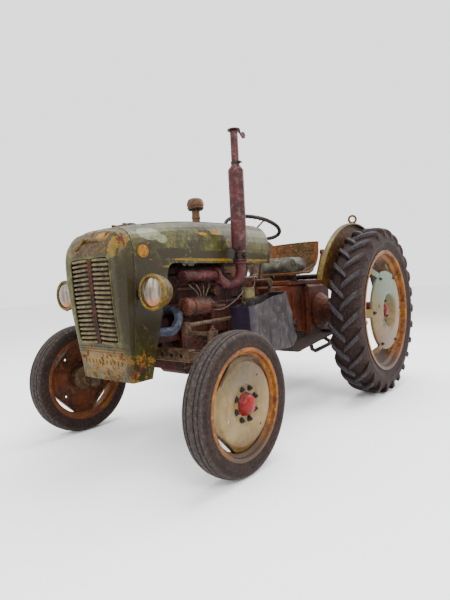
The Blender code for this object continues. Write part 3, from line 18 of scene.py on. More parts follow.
import bmesh
import bpy
from mathutils import Matrix, Vector, noise
from mathutils.bvhtree import BVHTree
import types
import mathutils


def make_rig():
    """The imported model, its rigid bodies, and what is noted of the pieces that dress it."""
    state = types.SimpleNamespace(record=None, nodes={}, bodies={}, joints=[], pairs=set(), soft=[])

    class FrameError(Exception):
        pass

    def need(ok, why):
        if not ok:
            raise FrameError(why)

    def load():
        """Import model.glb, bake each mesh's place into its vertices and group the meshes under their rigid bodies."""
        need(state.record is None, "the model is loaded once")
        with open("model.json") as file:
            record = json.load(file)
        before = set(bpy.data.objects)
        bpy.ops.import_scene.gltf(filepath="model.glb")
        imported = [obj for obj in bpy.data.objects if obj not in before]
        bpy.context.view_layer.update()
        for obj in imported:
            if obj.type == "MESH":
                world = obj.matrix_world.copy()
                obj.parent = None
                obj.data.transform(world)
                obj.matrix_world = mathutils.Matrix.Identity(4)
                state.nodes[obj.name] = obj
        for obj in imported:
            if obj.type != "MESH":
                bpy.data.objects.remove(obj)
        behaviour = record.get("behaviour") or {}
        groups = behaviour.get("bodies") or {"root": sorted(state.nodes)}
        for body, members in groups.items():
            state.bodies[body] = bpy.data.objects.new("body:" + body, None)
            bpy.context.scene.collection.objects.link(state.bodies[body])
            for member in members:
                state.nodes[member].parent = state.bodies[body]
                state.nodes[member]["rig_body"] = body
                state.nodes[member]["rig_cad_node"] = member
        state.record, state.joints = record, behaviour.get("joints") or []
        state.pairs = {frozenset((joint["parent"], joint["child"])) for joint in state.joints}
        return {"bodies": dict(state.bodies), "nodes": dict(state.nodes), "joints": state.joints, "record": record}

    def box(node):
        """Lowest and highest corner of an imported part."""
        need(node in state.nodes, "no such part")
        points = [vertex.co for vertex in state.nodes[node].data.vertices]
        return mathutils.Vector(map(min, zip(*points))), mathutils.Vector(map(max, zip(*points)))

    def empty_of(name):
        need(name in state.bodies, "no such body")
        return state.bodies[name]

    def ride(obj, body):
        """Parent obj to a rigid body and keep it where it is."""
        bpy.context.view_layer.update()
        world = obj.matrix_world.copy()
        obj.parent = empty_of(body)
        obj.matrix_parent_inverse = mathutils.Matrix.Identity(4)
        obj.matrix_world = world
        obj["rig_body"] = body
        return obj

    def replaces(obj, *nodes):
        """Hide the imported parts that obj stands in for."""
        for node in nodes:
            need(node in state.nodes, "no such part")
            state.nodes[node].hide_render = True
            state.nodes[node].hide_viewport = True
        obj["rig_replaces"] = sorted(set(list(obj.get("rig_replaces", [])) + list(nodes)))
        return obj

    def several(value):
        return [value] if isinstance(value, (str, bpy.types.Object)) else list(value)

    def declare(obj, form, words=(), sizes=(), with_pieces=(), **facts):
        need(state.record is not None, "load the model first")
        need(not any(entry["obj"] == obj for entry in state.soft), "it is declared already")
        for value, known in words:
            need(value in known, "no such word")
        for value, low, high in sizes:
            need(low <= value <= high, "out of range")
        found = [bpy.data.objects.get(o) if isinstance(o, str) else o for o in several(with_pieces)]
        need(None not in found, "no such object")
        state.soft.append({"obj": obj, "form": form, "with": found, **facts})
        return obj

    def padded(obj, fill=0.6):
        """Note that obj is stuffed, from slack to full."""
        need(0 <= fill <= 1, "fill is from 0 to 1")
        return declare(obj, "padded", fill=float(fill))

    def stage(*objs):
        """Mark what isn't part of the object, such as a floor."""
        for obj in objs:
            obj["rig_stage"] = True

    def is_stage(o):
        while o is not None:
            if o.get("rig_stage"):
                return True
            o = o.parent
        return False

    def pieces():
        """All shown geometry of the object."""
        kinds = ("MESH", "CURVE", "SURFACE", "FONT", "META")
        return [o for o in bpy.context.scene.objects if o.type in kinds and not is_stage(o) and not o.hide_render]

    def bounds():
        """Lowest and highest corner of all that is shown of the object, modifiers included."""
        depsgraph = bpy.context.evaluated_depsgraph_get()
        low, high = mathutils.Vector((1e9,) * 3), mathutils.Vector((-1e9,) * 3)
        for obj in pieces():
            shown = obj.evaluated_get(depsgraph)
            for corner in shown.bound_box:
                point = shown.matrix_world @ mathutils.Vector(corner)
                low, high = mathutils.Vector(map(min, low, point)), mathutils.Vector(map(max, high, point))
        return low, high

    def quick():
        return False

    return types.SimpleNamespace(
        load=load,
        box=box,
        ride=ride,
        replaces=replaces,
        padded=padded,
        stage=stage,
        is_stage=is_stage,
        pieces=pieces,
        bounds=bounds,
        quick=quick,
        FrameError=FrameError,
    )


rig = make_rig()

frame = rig.load()
CAD_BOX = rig.bounds()
LOG = logging.getLogger("tractor")
Material = bpy.types.Material
Mesh = bpy.types.Mesh
Piece = bpy.types.Object
Socket = bpy.types.NodeSocket
Profile = Sequence[tuple[float, float]]
Colour = tuple[float, float, float]
Point = tuple[float, float, float]
TAU = 2.0 * pi
SIDES = (("left", 1.0), ("right", -1.0))
WELD = 1e-5  # points nearer than this are one
ORIGIN = (0.0, 0.0, 0.0)
AHEAD, ASIDE, ABOVE = -1.7, 0.6, 1.6  # where rays to a surface start, outside the machine
SHARP = 38.0  # angle, in degrees, over which an edge stays sharp
DEPTH = 0.33  # share of a colour's light that is kept, as the studio is bright
DULL = 0.20  # how little weathered surfaces mirror
VIVID = 1.34  # how much further from grey a colour stands


def tint(red: int, green: int, blue: int) -> Colour:
    """Gives the linear colour of an 8-bit display colour.

    Args:
        red: Red, 0 to 255.
        green: Green, 0 to 255.
        blue: Blue, 0 to 255.

    Returns:
        The colour as three linear numbers.
    """
    def linear(value: int) -> float:
        """Takes one channel from display to linear."""
        share = value / 255.0
        return share / 12.92 if share <= 0.04045 else ((share + 0.055) / 1.055) ** 2.4

    channels = [linear(value) for value in (red, green, blue)]
    grey = sum(channels) / 3.0
    kept = [max(0.0, grey + (value - grey) * VIVID) * DEPTH for value in channels]
    return kept[0], kept[1], kept[2]


OLIVE = tint(92, 90, 48)
OLIVE_PALE = tint(150, 148, 100)
OLIVE_DARK = tint(56, 48, 28)
CHIP_YELLOW = tint(200, 152, 52)
RUST = tint(142, 74, 34)
RUST_DARK = tint(62, 34, 22)
RUST_BRIGHT = tint(190, 104, 44)
SOOT = tint(26, 22, 20)
DUST = tint(138, 122, 98)
CREAM = tint(186, 168, 128)
CREAM_GREEN = tint(138, 156, 138)
CLAY = tint(132, 98, 66)
RUBBER_GREY = tint(68, 60, 58)
RUBBER_BROWN = tint(84, 56, 46)
MAROON = tint(104, 50, 54)
PINK_ASH = tint(150, 112, 106)
BLUE_GREY = tint(96, 104, 124)
SIGNAL_RED = tint(176, 22, 18)


class Axis(Enum):
    """The axis that a turned shape is turned about."""

    X = 0
    Y = 1
    Z = 2


class Fixing(Enum):
    """The small fasteners that are set in rows."""

    BOLT = "bolt"
    NUT = "nut"
    RIVET = "rivet"


# ---- Meshes ---------------------------------------------------------------------------
def smooth_path(points: Sequence[Point], steps: int = 6) -> list[Vector]:
    """Rounds a polyline into a curve through all its points.

    Args:
        points: The points that the curve goes through.
        steps: Pieces that each span is cut into.

    Returns:
        The curve's points.
    """
    knots = [Vector(p) for p in points]
    if len(knots) < 3:
        return knots
    knots = [2 * knots[0] - knots[1], *knots, 2 * knots[-1] - knots[-2]]
    curve = []
    for a, b, c, d in zip(knots, knots[1:], knots[2:], knots[3:]):
        for step in range(steps):
            t = step / steps
            along = (c - a) * t + (2 * a - 5 * b + 4 * c - d) * t * t
            curve.append(b + 0.5 * (along + (3 * b - 3 * c + d - a) * t ** 3))
    return [*curve, knots[-2]]


def arc(start: float, end: float, count: int) -> list[float]:
    """Spaces a number of angles, in degrees, evenly and gives them in radians."""
    return [radians(start + (end - start) * k / (count - 1)) for k in range(count)]


def shown(name: str, data: bpy.types.ID) -> Piece:
    """Makes an object and shows it in the scene.

    Args:
        name: Its name.
        data: Its mesh, lamp or camera.

    Returns:
        The object.
    """
    piece = bpy.data.objects.new(name, data)
    bpy.context.scene.collection.objects.link(piece)
    return piece


def settled(piece: Piece, *helpers: Piece) -> Mesh:
    """Makes a plain mesh of what a piece's modifiers give, and removes the piece.

    Args:
        piece: The piece.
        *helpers: Objects that its modifiers use, removed with it.

    Returns:
        The mesh.
    """
    graph = bpy.context.evaluated_depsgraph_get()
    mesh = bpy.data.meshes.new_from_object(piece.evaluated_get(graph))
    piece.modifiers.clear()
    for used in (piece, *helpers):
        bpy.data.objects.remove(used)
    return mesh


@dataclass
class Shape:
    """A mesh while it is being made, as plain points and faces."""

    points: list[Vector] = field(default_factory=list)
    faces: list[list[int]] = field(default_factory=list)

    def add(self, points: Iterable[Sequence[float]], faces: Iterable[Sequence[int]]) -> Shape:
        """Adds points, and faces that count from the first of them.

        Args:
            points: The new points.
            faces: The new faces, as indices into the new points.

        Returns:
            This shape.
        """
        base = len(self.points)
        self.points += [Vector(p) for p in points]
        self.faces += [[base + index for index in face] for face in faces]
        return self

    def grid(
            self, rows: Sequence[Sequence[Sequence[float]]], loop: bool = False,
            ring: bool = False) -> Shape:
        """Adds a sheet of four-sided faces between rows of points.

        Args:
            rows: Rows with the same number of points.
            loop: Whether each row closes on itself.
            ring: Whether the last row joins the first.

        Returns:
            This shape.
        """
        wide = len(rows[0])
        faces = []
        for i in range(len(rows) if ring else len(rows) - 1):
            j = (i + 1) % len(rows)
            for k in range(wide if loop else wide - 1):
                m = (k + 1) % wide
                faces.append((i * wide + k, i * wide + m, j * wide + m, j * wide + k))
        return self.add([p for row in rows for p in row], faces)

    def loft(self, rows: Sequence[Sequence[Sequence[float]]]) -> Shape:
        """Adds a solid through closed rings of points, with flat ends.

        Args:
            rows: Rings with the same number of points.

        Returns:
            This shape.
        """
        wide = len(rows[0])
        self.grid(rows, loop=True)
        end = len(self.points)
        first = end - wide * len(rows)
        self.faces += [
            [first + k for k in reversed(range(wide))], [end - wide + k for k in range(wide)]]
        return self

    def turn(
            self, profile: Profile, axis: Axis, centre: Sequence[float], sides: int = 48,
            closed: bool = True) -> Shape:
        """Adds a turned shape.

        Args:
            profile: (radius, distance along the axis) pairs.
            axis: The axis of turning.
            centre: A point on the axis, which distances are measured from.
            sides: Number of sides.
            closed: Whether the profile's last point joins its first.

        Returns:
            This shape.
        """
        first, second = [(1, 2), (2, 0), (0, 1)][axis.value]
        rows = []
        for radius, along in profile:
            row = []
            for k in range(sides):
                point = [0.0, 0.0, 0.0]
                point[axis.value] = along
                point[first] = radius * cos(TAU * k / sides)
                point[second] = radius * sin(TAU * k / sides)
                row.append(Vector(point) + Vector(centre))
            rows.append(row)
        return self.grid(rows, loop=True, ring=closed)

    def tube(
            self, path: Sequence[Sequence[float]], radius: float | Sequence[float], sides: int = 10,
            closed: bool = False) -> Shape:
        """Adds a round bar or pipe along a path.

        Args:
            path: The points of its middle line.
            radius: Its radius, or one for each point.
            sides: Number of sides.
            closed: Whether the path is a loop.

        Returns:
            This shape.
        """
        line = [Vector(p) for p in path]
        radii = [radius] * len(line) if isinstance(radius, (int, float)) else list(radius)
        rows = []
        side = None
        for k, point in enumerate(line):
            before = line[k - 1] if closed or k else point
            after = line[(k + 1) % len(line)] if closed or k + 1 < len(line) else point
            ahead = (after - before).normalized()
            if side is None:
                side = ahead.orthogonal().normalized()
            side = (side - ahead * side.dot(ahead)).normalized()
            other = ahead.cross(side)
            rows.append(
                [point + radii[k] * (side * cos(TAU * s / sides) + other * sin(TAU * s / sides))
                for s in range(sides)])
        return self.grid(rows, loop=True, ring=True) if closed else self.loft(rows)

    def box(self, low: Sequence[float], high: Sequence[float], edge: float = 0.002) -> Shape:
        """Adds a block with rounded edges.

        Args:
            low: Its lowest corner.
            high: Its highest corner.
            edge: Width of the rounding.

        Returns:
            This shape.
        """
        work = bmesh.new()
        bmesh.ops.create_cube(work, size=1.0)
        for vert in work.verts:
            vert.co = Vector([a + (b - a) * (c + 0.5) for a, b, c in zip(low, high, vert.co)])
        if edge:
            bmesh.ops.bevel(
                work, geom=work.edges[:], offset=edge, segments=2, profile=0.7, affect="EDGES")
        return self.take(work)

    def slab(self, outline: Profile, axis: Axis, low: float, high: float,
            edge: float = 0.0) -> Shape:
        """Adds a flat plate of any outline.

        Args:
            outline: The outline's points in the plane across the axis.
            axis: The axis of its thickness.
            low: Where it starts along the axis.
            high: Where it ends.
            edge: Width of the rounding.

        Returns:
            This shape.
        """
        work = bmesh.new()
        places = [(1, 2), (0, 2), (0, 1)][axis.value]
        rings = []
        for along in (low, high):
            ring = []
            for pair in outline:
                point = [0.0, 0.0, 0.0]
                point[axis.value] = along
                point[places[0]], point[places[1]] = pair
                ring.append(work.verts.new(point))
            rings.append(ring)
        work.faces.new(rings[0])
        work.faces.new(rings[1][::-1])
        count = len(outline)
        for k in range(count):
            m = (k + 1) % count
            work.faces.new([rings[0][k], rings[1][k], rings[1][m], rings[0][m]])
        bmesh.ops.recalc_face_normals(work, faces=work.faces[:])
        if edge:
            bmesh.ops.bevel(
                work, geom=work.edges[:], offset=edge, segments=2, profile=0.7, affect="EDGES")
        return self.take(work)

    def take(self, work: bmesh.types.BMesh) -> Shape:
        """Adds a bmesh's faces and frees it.

        Args:
            work: The bmesh.

        Returns:
            This shape.
        """
        work.verts.index_update()
        self.add([v.co for v in work.verts], [[v.index for v in f.verts] for f in work.faces])
        work.free()
        return self

    def moved(self, matrix: Matrix) -> Shape:
        """Gives a copy put through a matrix."""
        return Shape([matrix @ p for p in self.points], [list(f) for f in self.faces])

    def plus(self, *others: Shape) -> Shape:
        """Adds other shapes to this one.

        Args:
            *others: The shapes.

        Returns:
            This shape.
        """
        for other in others:
            self.add(other.points, other.faces)
        return self

    def on_side(self, sign: float) -> Shape:
        """Gives this shape for the left (+1) or mirrored to the right (-1).

        Args:
            sign: The side.

        Returns:
            The shape, or its mirror image.
        """
        if sign > 0:
            return self
        points = [Vector((-p.x, p.y, p.z)) for p in self.points]
        return Shape(points, [f[::-1] for f in self.faces])

    def mesh(self, name: str, sharp: float = SHARP) -> Mesh:
        """Makes a clean mesh: doubles merged, faces outwards, edges over an angle sharp.

        Args:
            name: The mesh's name.
            sharp: Angle, in degrees, over which an edge stays sharp.

        Returns:
            The mesh.
        """
        work = bmesh.new()
        verts = [work.verts.new(p) for p in self.points]
        for face in self.faces:
            try:
                work.faces.new([verts[k] for k in face])
            except ValueError:
                continue
        bmesh.ops.remove_doubles(work, verts=work.verts[:], dist=WELD)
        bmesh.ops.dissolve_degenerate(work, dist=WELD, edges=work.edges[:])
        bmesh.ops.recalc_face_normals(work, faces=work.faces[:])
        mesh = bpy.data.meshes.new(name)
        work.to_mesh(mesh)
        work.free()
        mesh.shade_smooth()
        mesh.set_sharp_from_angle(angle=radians(sharp))
        return mesh


def part(
        name: str, shape: Shape | Mesh, finish: Material, body: str = "tractor", *nodes: str,
        sharp: float = SHARP) -> Piece:
    """Puts a finished shape in the scene on its CAD body.

    Args:
        name: The piece's name.
        shape: The shape, or its mesh, in the shared frame.
        finish: Its material.
        body: The body that it rides on.
        *nodes: CAD nodes that it stands for.
        sharp: Angle, in degrees, over which a shape's edge stays sharp.

    Returns:
        The piece.
    """
    mesh = shape.mesh(name, sharp) if isinstance(shape, Shape) else shape
    piece = shown(name, mesh)
    mesh.materials.clear()
    mesh.materials.append(finish)
    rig.ride(piece, body)
    if nodes:
        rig.replaces(piece, *nodes)
    LOG.info("%s: %d faces on %s", name, len(mesh.polygons), body)
    return piece


@dataclass
class Skin:
    """A CAD node's surface, for pieces that sit on it."""

    node: str

    def __post_init__(self) -> None:
        """Reads the node's triangles."""
        mesh = frame["nodes"][self.node].data
        points = [v.co.copy() for v in mesh.vertices]
        self.tree = BVHTree.FromPolygons(points, [list(p.vertices) for p in mesh.polygons])

    def hit(self, start: Sequence[float], ahead: Sequence[float]) -> tuple[Vector, Vector]:
        """Finds the first point of the surface on a ray.

        Args:
            start: Where the ray starts.
            ahead: Its direction.

        Returns:
            The point and the outward direction there; the start itself on a miss.
        """
        ray = Vector(ahead).normalized()
        place, normal, _, _ = self.tree.ray_cast(Vector(start), ray)
        if place is None:
            return Vector(start), -ray
        return place, normal if normal.dot(ray) < 0 else -normal

    def front(self, x: float, z: float) -> tuple[Vector, Vector]:
        """Finds the point seen from straight ahead; see hit()."""
        return self.hit((x, AHEAD, z), (0, 1, 0))

    def flank(self, sign: float, y: float, z: float) -> tuple[Vector, Vector]:
        """Finds the point seen from the left (+1) or the right (-1); see hit()."""
        return self.hit((sign * ASIDE, y, z), (-sign, 0, 0))

    def top(self, x: float, y: float) -> tuple[Vector, Vector]:
        """Finds the point seen from above; see hit()."""
        return self.hit((x, y, ABOVE), (0, 0, -1))


# ---- Geometry Nodes -------------------------------------------------------------------
@dataclass
class Stamper:
    """A node tree that sets one item on every point of a mesh, each turned its own way."""

    name: str = "stamp_items"

    def __post_init__(self) -> None:
        """Builds the tree: points, instances, realised mesh, finish."""
        tree = bpy.data.node_groups.new(self.name, "GeometryNodeTree")
        face = tree.interface
        face.new_socket(name="Places", in_out="INPUT", socket_type="NodeSocketGeometry")
        self.keys = {}
        for label, kind in (
                ("Item", "NodeSocketObject"), ("Size", "NodeSocketFloat"),
                ("Unevenness", "NodeSocketFloat"), ("Seed", "NodeSocketInt"),
                ("Finish", "NodeSocketMaterial")):
            socket = face.new_socket(name=label, in_out="INPUT", socket_type=kind)
            self.keys[label] = socket.identifier
        face.new_socket(name="Mesh", in_out="OUTPUT", socket_type="NodeSocketGeometry")
        node = tree.nodes.new
        link = tree.links.new
        ways, out = node("NodeGroupInput"), node("NodeGroupOutput")
        item, turn = node("GeometryNodeObjectInfo"), node("GeometryNodeInputNamedAttribute")
        turn.data_type = "FLOAT_VECTOR"
        turn.inputs["Name"].default_value = "turn"
        spread, scale = node("FunctionNodeRandomValue"), node("ShaderNodeMath")
        spread.data_type = "FLOAT"
        low = node("ShaderNodeMath")
        low.operation, scale.operation = "SUBTRACT", "MULTIPLY"
        low.inputs[0].default_value = 1.0
        link(ways.outputs["Unevenness"], low.inputs[1])
        floats = [s for s in spread.inputs if s.type == "VALUE"]
        link(low.outputs[0], floats[0])
        floats[1].default_value = 1.0
        link(ways.outputs["Seed"], spread.inputs["Seed"])
        value = next(s for s in spread.outputs if s.type == "VALUE")
        link(value, scale.inputs[0])
        link(ways.outputs["Size"], scale.inputs[1])
        stamp, real = node("GeometryNodeInstanceOnPoints"), node("GeometryNodeRealizeInstances")
        dress = node("GeometryNodeSetMaterial")
        link(ways.outputs["Item"], item.inputs["Object"])
        link(ways.outputs["Places"], stamp.inputs["Points"])
        link(item.outputs["Geometry"], stamp.inputs["Instance"])
        link(turn.outputs["Attribute"], stamp.inputs["Rotation"])
        link(scale.outputs[0], stamp.inputs["Scale"])
        link(stamp.outputs["Instances"], real.inputs["Geometry"])
        link(real.outputs["Geometry"], dress.inputs["Geometry"])
        link(ways.outputs["Finish"], dress.inputs["Material"])
        link(dress.outputs["Geometry"], out.inputs["Mesh"])
        self.tree = tree

    def run(
            self, name: str, item: Shape, places: Sequence[tuple[Vector, Vector]], finish: Material,
            body: str = "tractor", *nodes: str, size: float = 1.0, uneven: float = 0.0,
            seed: int = 1, sharp: float = SHARP) -> Piece:
        """Stamps an item on places and puts the plain mesh in the scene.

        Args:
            name: The piece's name.
            item: The item, built round the origin.
            places: Where each one goes and its turn as Euler angles.
            finish: The finish of the result.
            body: The body that it rides on.
            *nodes: CAD nodes that it stands for.
            size: Size of each one.
            uneven: How much smaller the smallest may be, as a share.
            seed: Seed of that spread.
            sharp: Angle, in degrees, over which an item's edge stays sharp.

        Returns:
            The piece.
        """
        source = shown(name + "_item", item.mesh(name + "_item", sharp))
        cloud = bpy.data.meshes.new(name + "_places")
        cloud.from_pydata([p for p, _ in places], [], [])
        turns = cloud.attributes.new("turn", "FLOAT_VECTOR", "POINT")
        for row, (_, turn) in zip(turns.data, places):
            row.vector = turn
        carrier = shown(name + "_carrier", cloud)
        modifier = carrier.modifiers.new("stamp", "NODES")
        modifier.node_group = self.tree
        given = {"Item": source, "Size": size, "Unevenness": uneven, "Seed": seed, "Finish": finish}
        for label, value in given.items():
            modifier[self.keys[label]] = value
        return part(name, settled(carrier, source), finish, body, *nodes)


STAMPER = Stamper()


def facing(normal: Sequence[float], spin: float = 0.0) -> Vector:
    """Gives the Euler angles that turn +Z to a direction, after a spin about it."""
    turn = Vector(normal).to_track_quat("Z", "Y").to_matrix() @ Matrix.Rotation(spin, 3, "Z")
    return Vector(turn.to_euler())


def ring_places(
        centre: Sequence[float], axis: Axis, radius: float, count: int, phase: float = 0.0,
        along: float = 0.0) -> list[tuple[Vector, Vector]]:
    """Spaces places on a circle, with turns that carry an item built at the top round it.

    Args:
        centre: The circle's centre.
        axis: Its axis.
        radius: Its radius; 0 turns items about the centre where they are.
        count: How many places.
        phase: Angle of the first, in radians.
        along: Shift along the axis.

    Returns:
        Places and turns.
    """
    places = []
    for k in range(count):
        turn = Matrix.Rotation(phase + TAU * k / count, 3, axis.name)
        out = turn @ (Vector((0, 0, radius)) if axis is not Axis.Z else Vector((0, radius, 0)))
        out[axis.value] += along
        places.append((Vector(centre) + out, Vector(turn.to_euler())))
    return places


def fixing_shape(kind: Fixing) -> Shape:
    """Builds one fastener, standing on the origin along +Z.

    Args:
        kind: Which fastener.

    Returns:
        The fastener: a rivet has a 10 mm head, a bolt or a nut one of 15 mm.
    """
    shape = Shape()
    if kind is Fixing.RIVET:
        shape.turn(
            [(0, 0.0026), (0.0026, 0.0022), (0.0045, 0.0008), (0.005, -0.001), (0, -0.001)], Axis.Z,
            ORIGIN, 10)
        return shape
    shape.turn(
        [(0, 0.0068), (0.0066, 0.0068), (0.0076, 0.0058), (0.0076, 0.0016), (0, 0.0016)], Axis.Z,
        ORIGIN, 6)
    shape.turn(
        [(0, 0.0016), (0.0094, 0.0016), (0.0098, 0.0008), (0.0098, -0.001), (0, -0.001)], Axis.Z,
        ORIGIN, 14)
    if kind is Fixing.NUT:
        shape.turn(
            [(0, 0.0125), (0.0034, 0.0125), (0.004, 0.0115), (0.004, 0.006), (0, 0.006)], Axis.Z,
            ORIGIN, 10)
    return shape


def fixings(
        name: str, kind: Fixing, places: Sequence[tuple[Sequence[float], Sequence[float]]],
        finish: Material, size: float = 1.0, body: str = "tractor") -> Piece:
    """Sets fasteners at points, each standing along its own direction.

    Args:
        name: The piece's name.
        kind: Which fastener.
        places: Points and directions.
        finish: Their material.
        size: Their size, 1 for a 15 mm head.
        body: The body that they ride on.

    Returns:
        The piece.
    """
    turned = [(Vector(p), facing(n, 1.7 * k)) for k, (p, n) in enumerate(places)]
    return STAMPER.run(
        name, fixing_shape(kind), turned, finish, body, size=size, uneven=0.08, seed=len(places))


# ---- Finishes -------------------------------------------------------------------------
@dataclass(frozen=True)
class StainShadeAndHighlight:
    """A painted patch at a place: an ellipsoid of another colour with a ragged edge. Stains, painted shade and painted
    highlights all use it.
    """

    centre: Point
    radii: Point
    colour: Colour
    ragged: float = 0.25
    soft: float = 0.0


@dataclass
class Recipe:
    """One material's nodes, wired step by step."""

    name: str

    def __post_init__(self) -> None:
        """Starts an empty material on Object coordinates."""
        self.material = bpy.data.materials.new(self.name)
        self.material.use_nodes = True
        self.tree = self.material.node_tree
        self.tree.nodes.clear()
        self.output = self.tree.nodes.new("ShaderNodeOutputMaterial")
        self.shader = self.tree.nodes.new("ShaderNodeBsdfPrincipled")
        self.tree.links.new(self.shader.outputs[0], self.output.inputs[0])
        self.place = self.tree.nodes.new("ShaderNodeTexCoord").outputs["Object"]

    def _feed(self, socket: Socket, value: object) -> None:
        """Links a socket to a socket, or sets a plain value on it.

        Args:
            socket: The socket that takes it.
            value: A socket, a number, a vector or a colour.
        """
        if isinstance(value, bpy.types.NodeSocket):
            self.tree.links.new(value, socket)
        elif isinstance(value, tuple) and len(value) == 3 and socket.type == "RGBA":
            socket.default_value = (*value, 1.0)
        else:
            socket.default_value = value

    def _node(self, kind: str, feeds: dict, **settings: object) -> bpy.types.Node:
        """Adds a node.

        Args:
            kind: Its type's name after the usual start.
            feeds: Values or sockets for its inputs, by name or place.
            **settings: Its own settings.

        Returns:
            The node.
        """
        node = self.tree.nodes.new("ShaderNode" + kind)
        for label, value in settings.items():
            setattr(node, label, value)
        for key, value in feeds.items():
            self._feed(node.inputs[key], value)
        return node

    def stretched(self, scale: Point, shift: Point = ORIGIN) -> Socket:
        """Gives the coordinates scaled along each axis and shifted."""
        feeds = {"Vector": self.place, "Scale": scale, "Location": shift}
        return self._node("Mapping", feeds).outputs[0]

    def noise(
            self, scale: float, detail: float = 5.0, rough: float = 0.6, stretch: Point = (1, 1, 1),
            shift: Point = ORIGIN, bend: float = 0.0) -> Socket:
        """Adds a noise pattern.

        Args:
            scale: Its scale, per metre.
            detail: Octaves.
            rough: Strength of the fine octaves.
            stretch: Scale along each axis before it.
            shift: Shift of the coordinates, for another pattern.
            bend: Distortion.

        Returns:
            The pattern's value.
        """
        feeds = {
            "Vector": self.stretched(stretch, shift), "Scale": scale, "Detail": detail,
            "Roughness": rough, "Distortion": bend}
        return self._node("TexNoise", feeds).outputs[0]

    def cells(self, scale: float) -> Socket:
        """Adds a cell pattern and gives the distance to the cells' middles."""
        feeds = {"Vector": self.stretched((1, 1, 1)), "Scale": scale}
        return self._node("TexVoronoi", feeds).outputs["Distance"]

    def band(self, value: object, low: float, high: float) -> Socket:
        """Takes a value smoothly from 0 at low to 1 at high."""
        feeds = {"Value": value, "From Min": low, "From Max": high}
        return self._node("MapRange", feeds, interpolation_type="SMOOTHSTEP").outputs[0]

    def _math(self, operation: str, first: object, second: object) -> Socket:
        """Works on two values; a sum or a difference is kept between 0 and 1."""
        clamp = operation in ("ADD", "SUBTRACT")
        return self._node("Math", {0: first, 1: second}, operation=operation,
            use_clamp=clamp).outputs[0]

    def plus(self, first: object, second: object) -> Socket:
        """Gives the sum, at most 1."""
        return self._math("ADD", first, second)

    def less(self, first: object, second: object) -> Socket:
        """Gives the first less the second, at least 0."""
        return self._math("SUBTRACT", first, second)

    def times(self, first: object, second: object) -> Socket:
        """Gives the product."""
        return self._math("MULTIPLY", first, second)

    def most(self, first: object, second: object) -> Socket:
        """Gives the larger one."""
        return self._math("MAXIMUM", first, second)

    def mix(self, share: object, first: object, second: object) -> Socket:
        """Mixes two colours by a share."""
        return self._node("Mix", {0: share, 6: first, 7: second}, data_type="RGBA").outputs[2]

    def height(self, axis: Axis, low: float, high: float) -> Socket:
        """Gives 0 below low and 1 above high along an axis."""
        split = self._node("SeparateXYZ", {0: self.place})
        return self.band(split.outputs[axis.value], low, high)

    def away(self, shift: Point, scale: Point) -> Socket:
        """Gives the distance from the origin of the shifted, scaled coordinates."""
        place = self.stretched(scale, shift)
        return self._node("VectorMath", {0: place}, operation="LENGTH").outputs["Value"]

    def spot(self, stain_shade_and_highlight: StainShadeAndHighlight) -> Socket:
        """Marks out one patch; stains, painted shade and painted highlights all use it.

        Args:
            stain_shade_and_highlight: The patch.

        Returns:
            1 inside it and 0 outside, with its ragged or soft edge.
        """
        shift = tuple(-c / r for c, r in zip(stain_shade_and_highlight.centre, stain_shade_and_highlight.radii))
        away = self.away(shift, tuple(1 / r for r in stain_shade_and_highlight.radii))
        feeds = {0: self.noise(38.0, 4.0), 1: 2 * stain_shade_and_highlight.ragged, 2: away}
        edge = self._node("Math", feeds, operation="MULTIPLY_ADD")
        return self.less(
            1.0, self.band(edge.outputs[0], 0.92 + stain_shade_and_highlight.ragged - stain_shade_and_highlight.soft, 1.02 + stain_shade_and_highlight.ragged
            + stain_shade_and_highlight.soft))

    def finish(
            self, colour: object, rough: object, bump: object = None, depth: float = 0.001,
            metallic: object = 0.0, **sockets: float) -> Material:
        """Closes the material.

        Args:
            colour: Base colour.
            rough: Roughness.
            bump: Height pattern, if any.
            depth: Height of the bump, in metres.
            metallic: Metalness.
            **sockets: Plain values for the shader's own sockets, spaces as underscores.

        Returns:
            The material.
        """
        self._feed(self.shader.inputs["Base Color"], colour)
        self._feed(self.shader.inputs["Roughness"], rough)
        self._feed(self.shader.inputs["Metallic"], metallic)
        self.shader.inputs["Specular IOR Level"].default_value = DULL
        for label, value in sockets.items():
            self.shader.inputs[label.replace("_", " ")].default_value = value
        if bump is not None:
            node = self._node("Bump", {"Distance": depth, "Strength": 1.0, "Height": bump})
            self.tree.links.new(node.outputs[0], self.shader.inputs["Normal"])
        return self.material


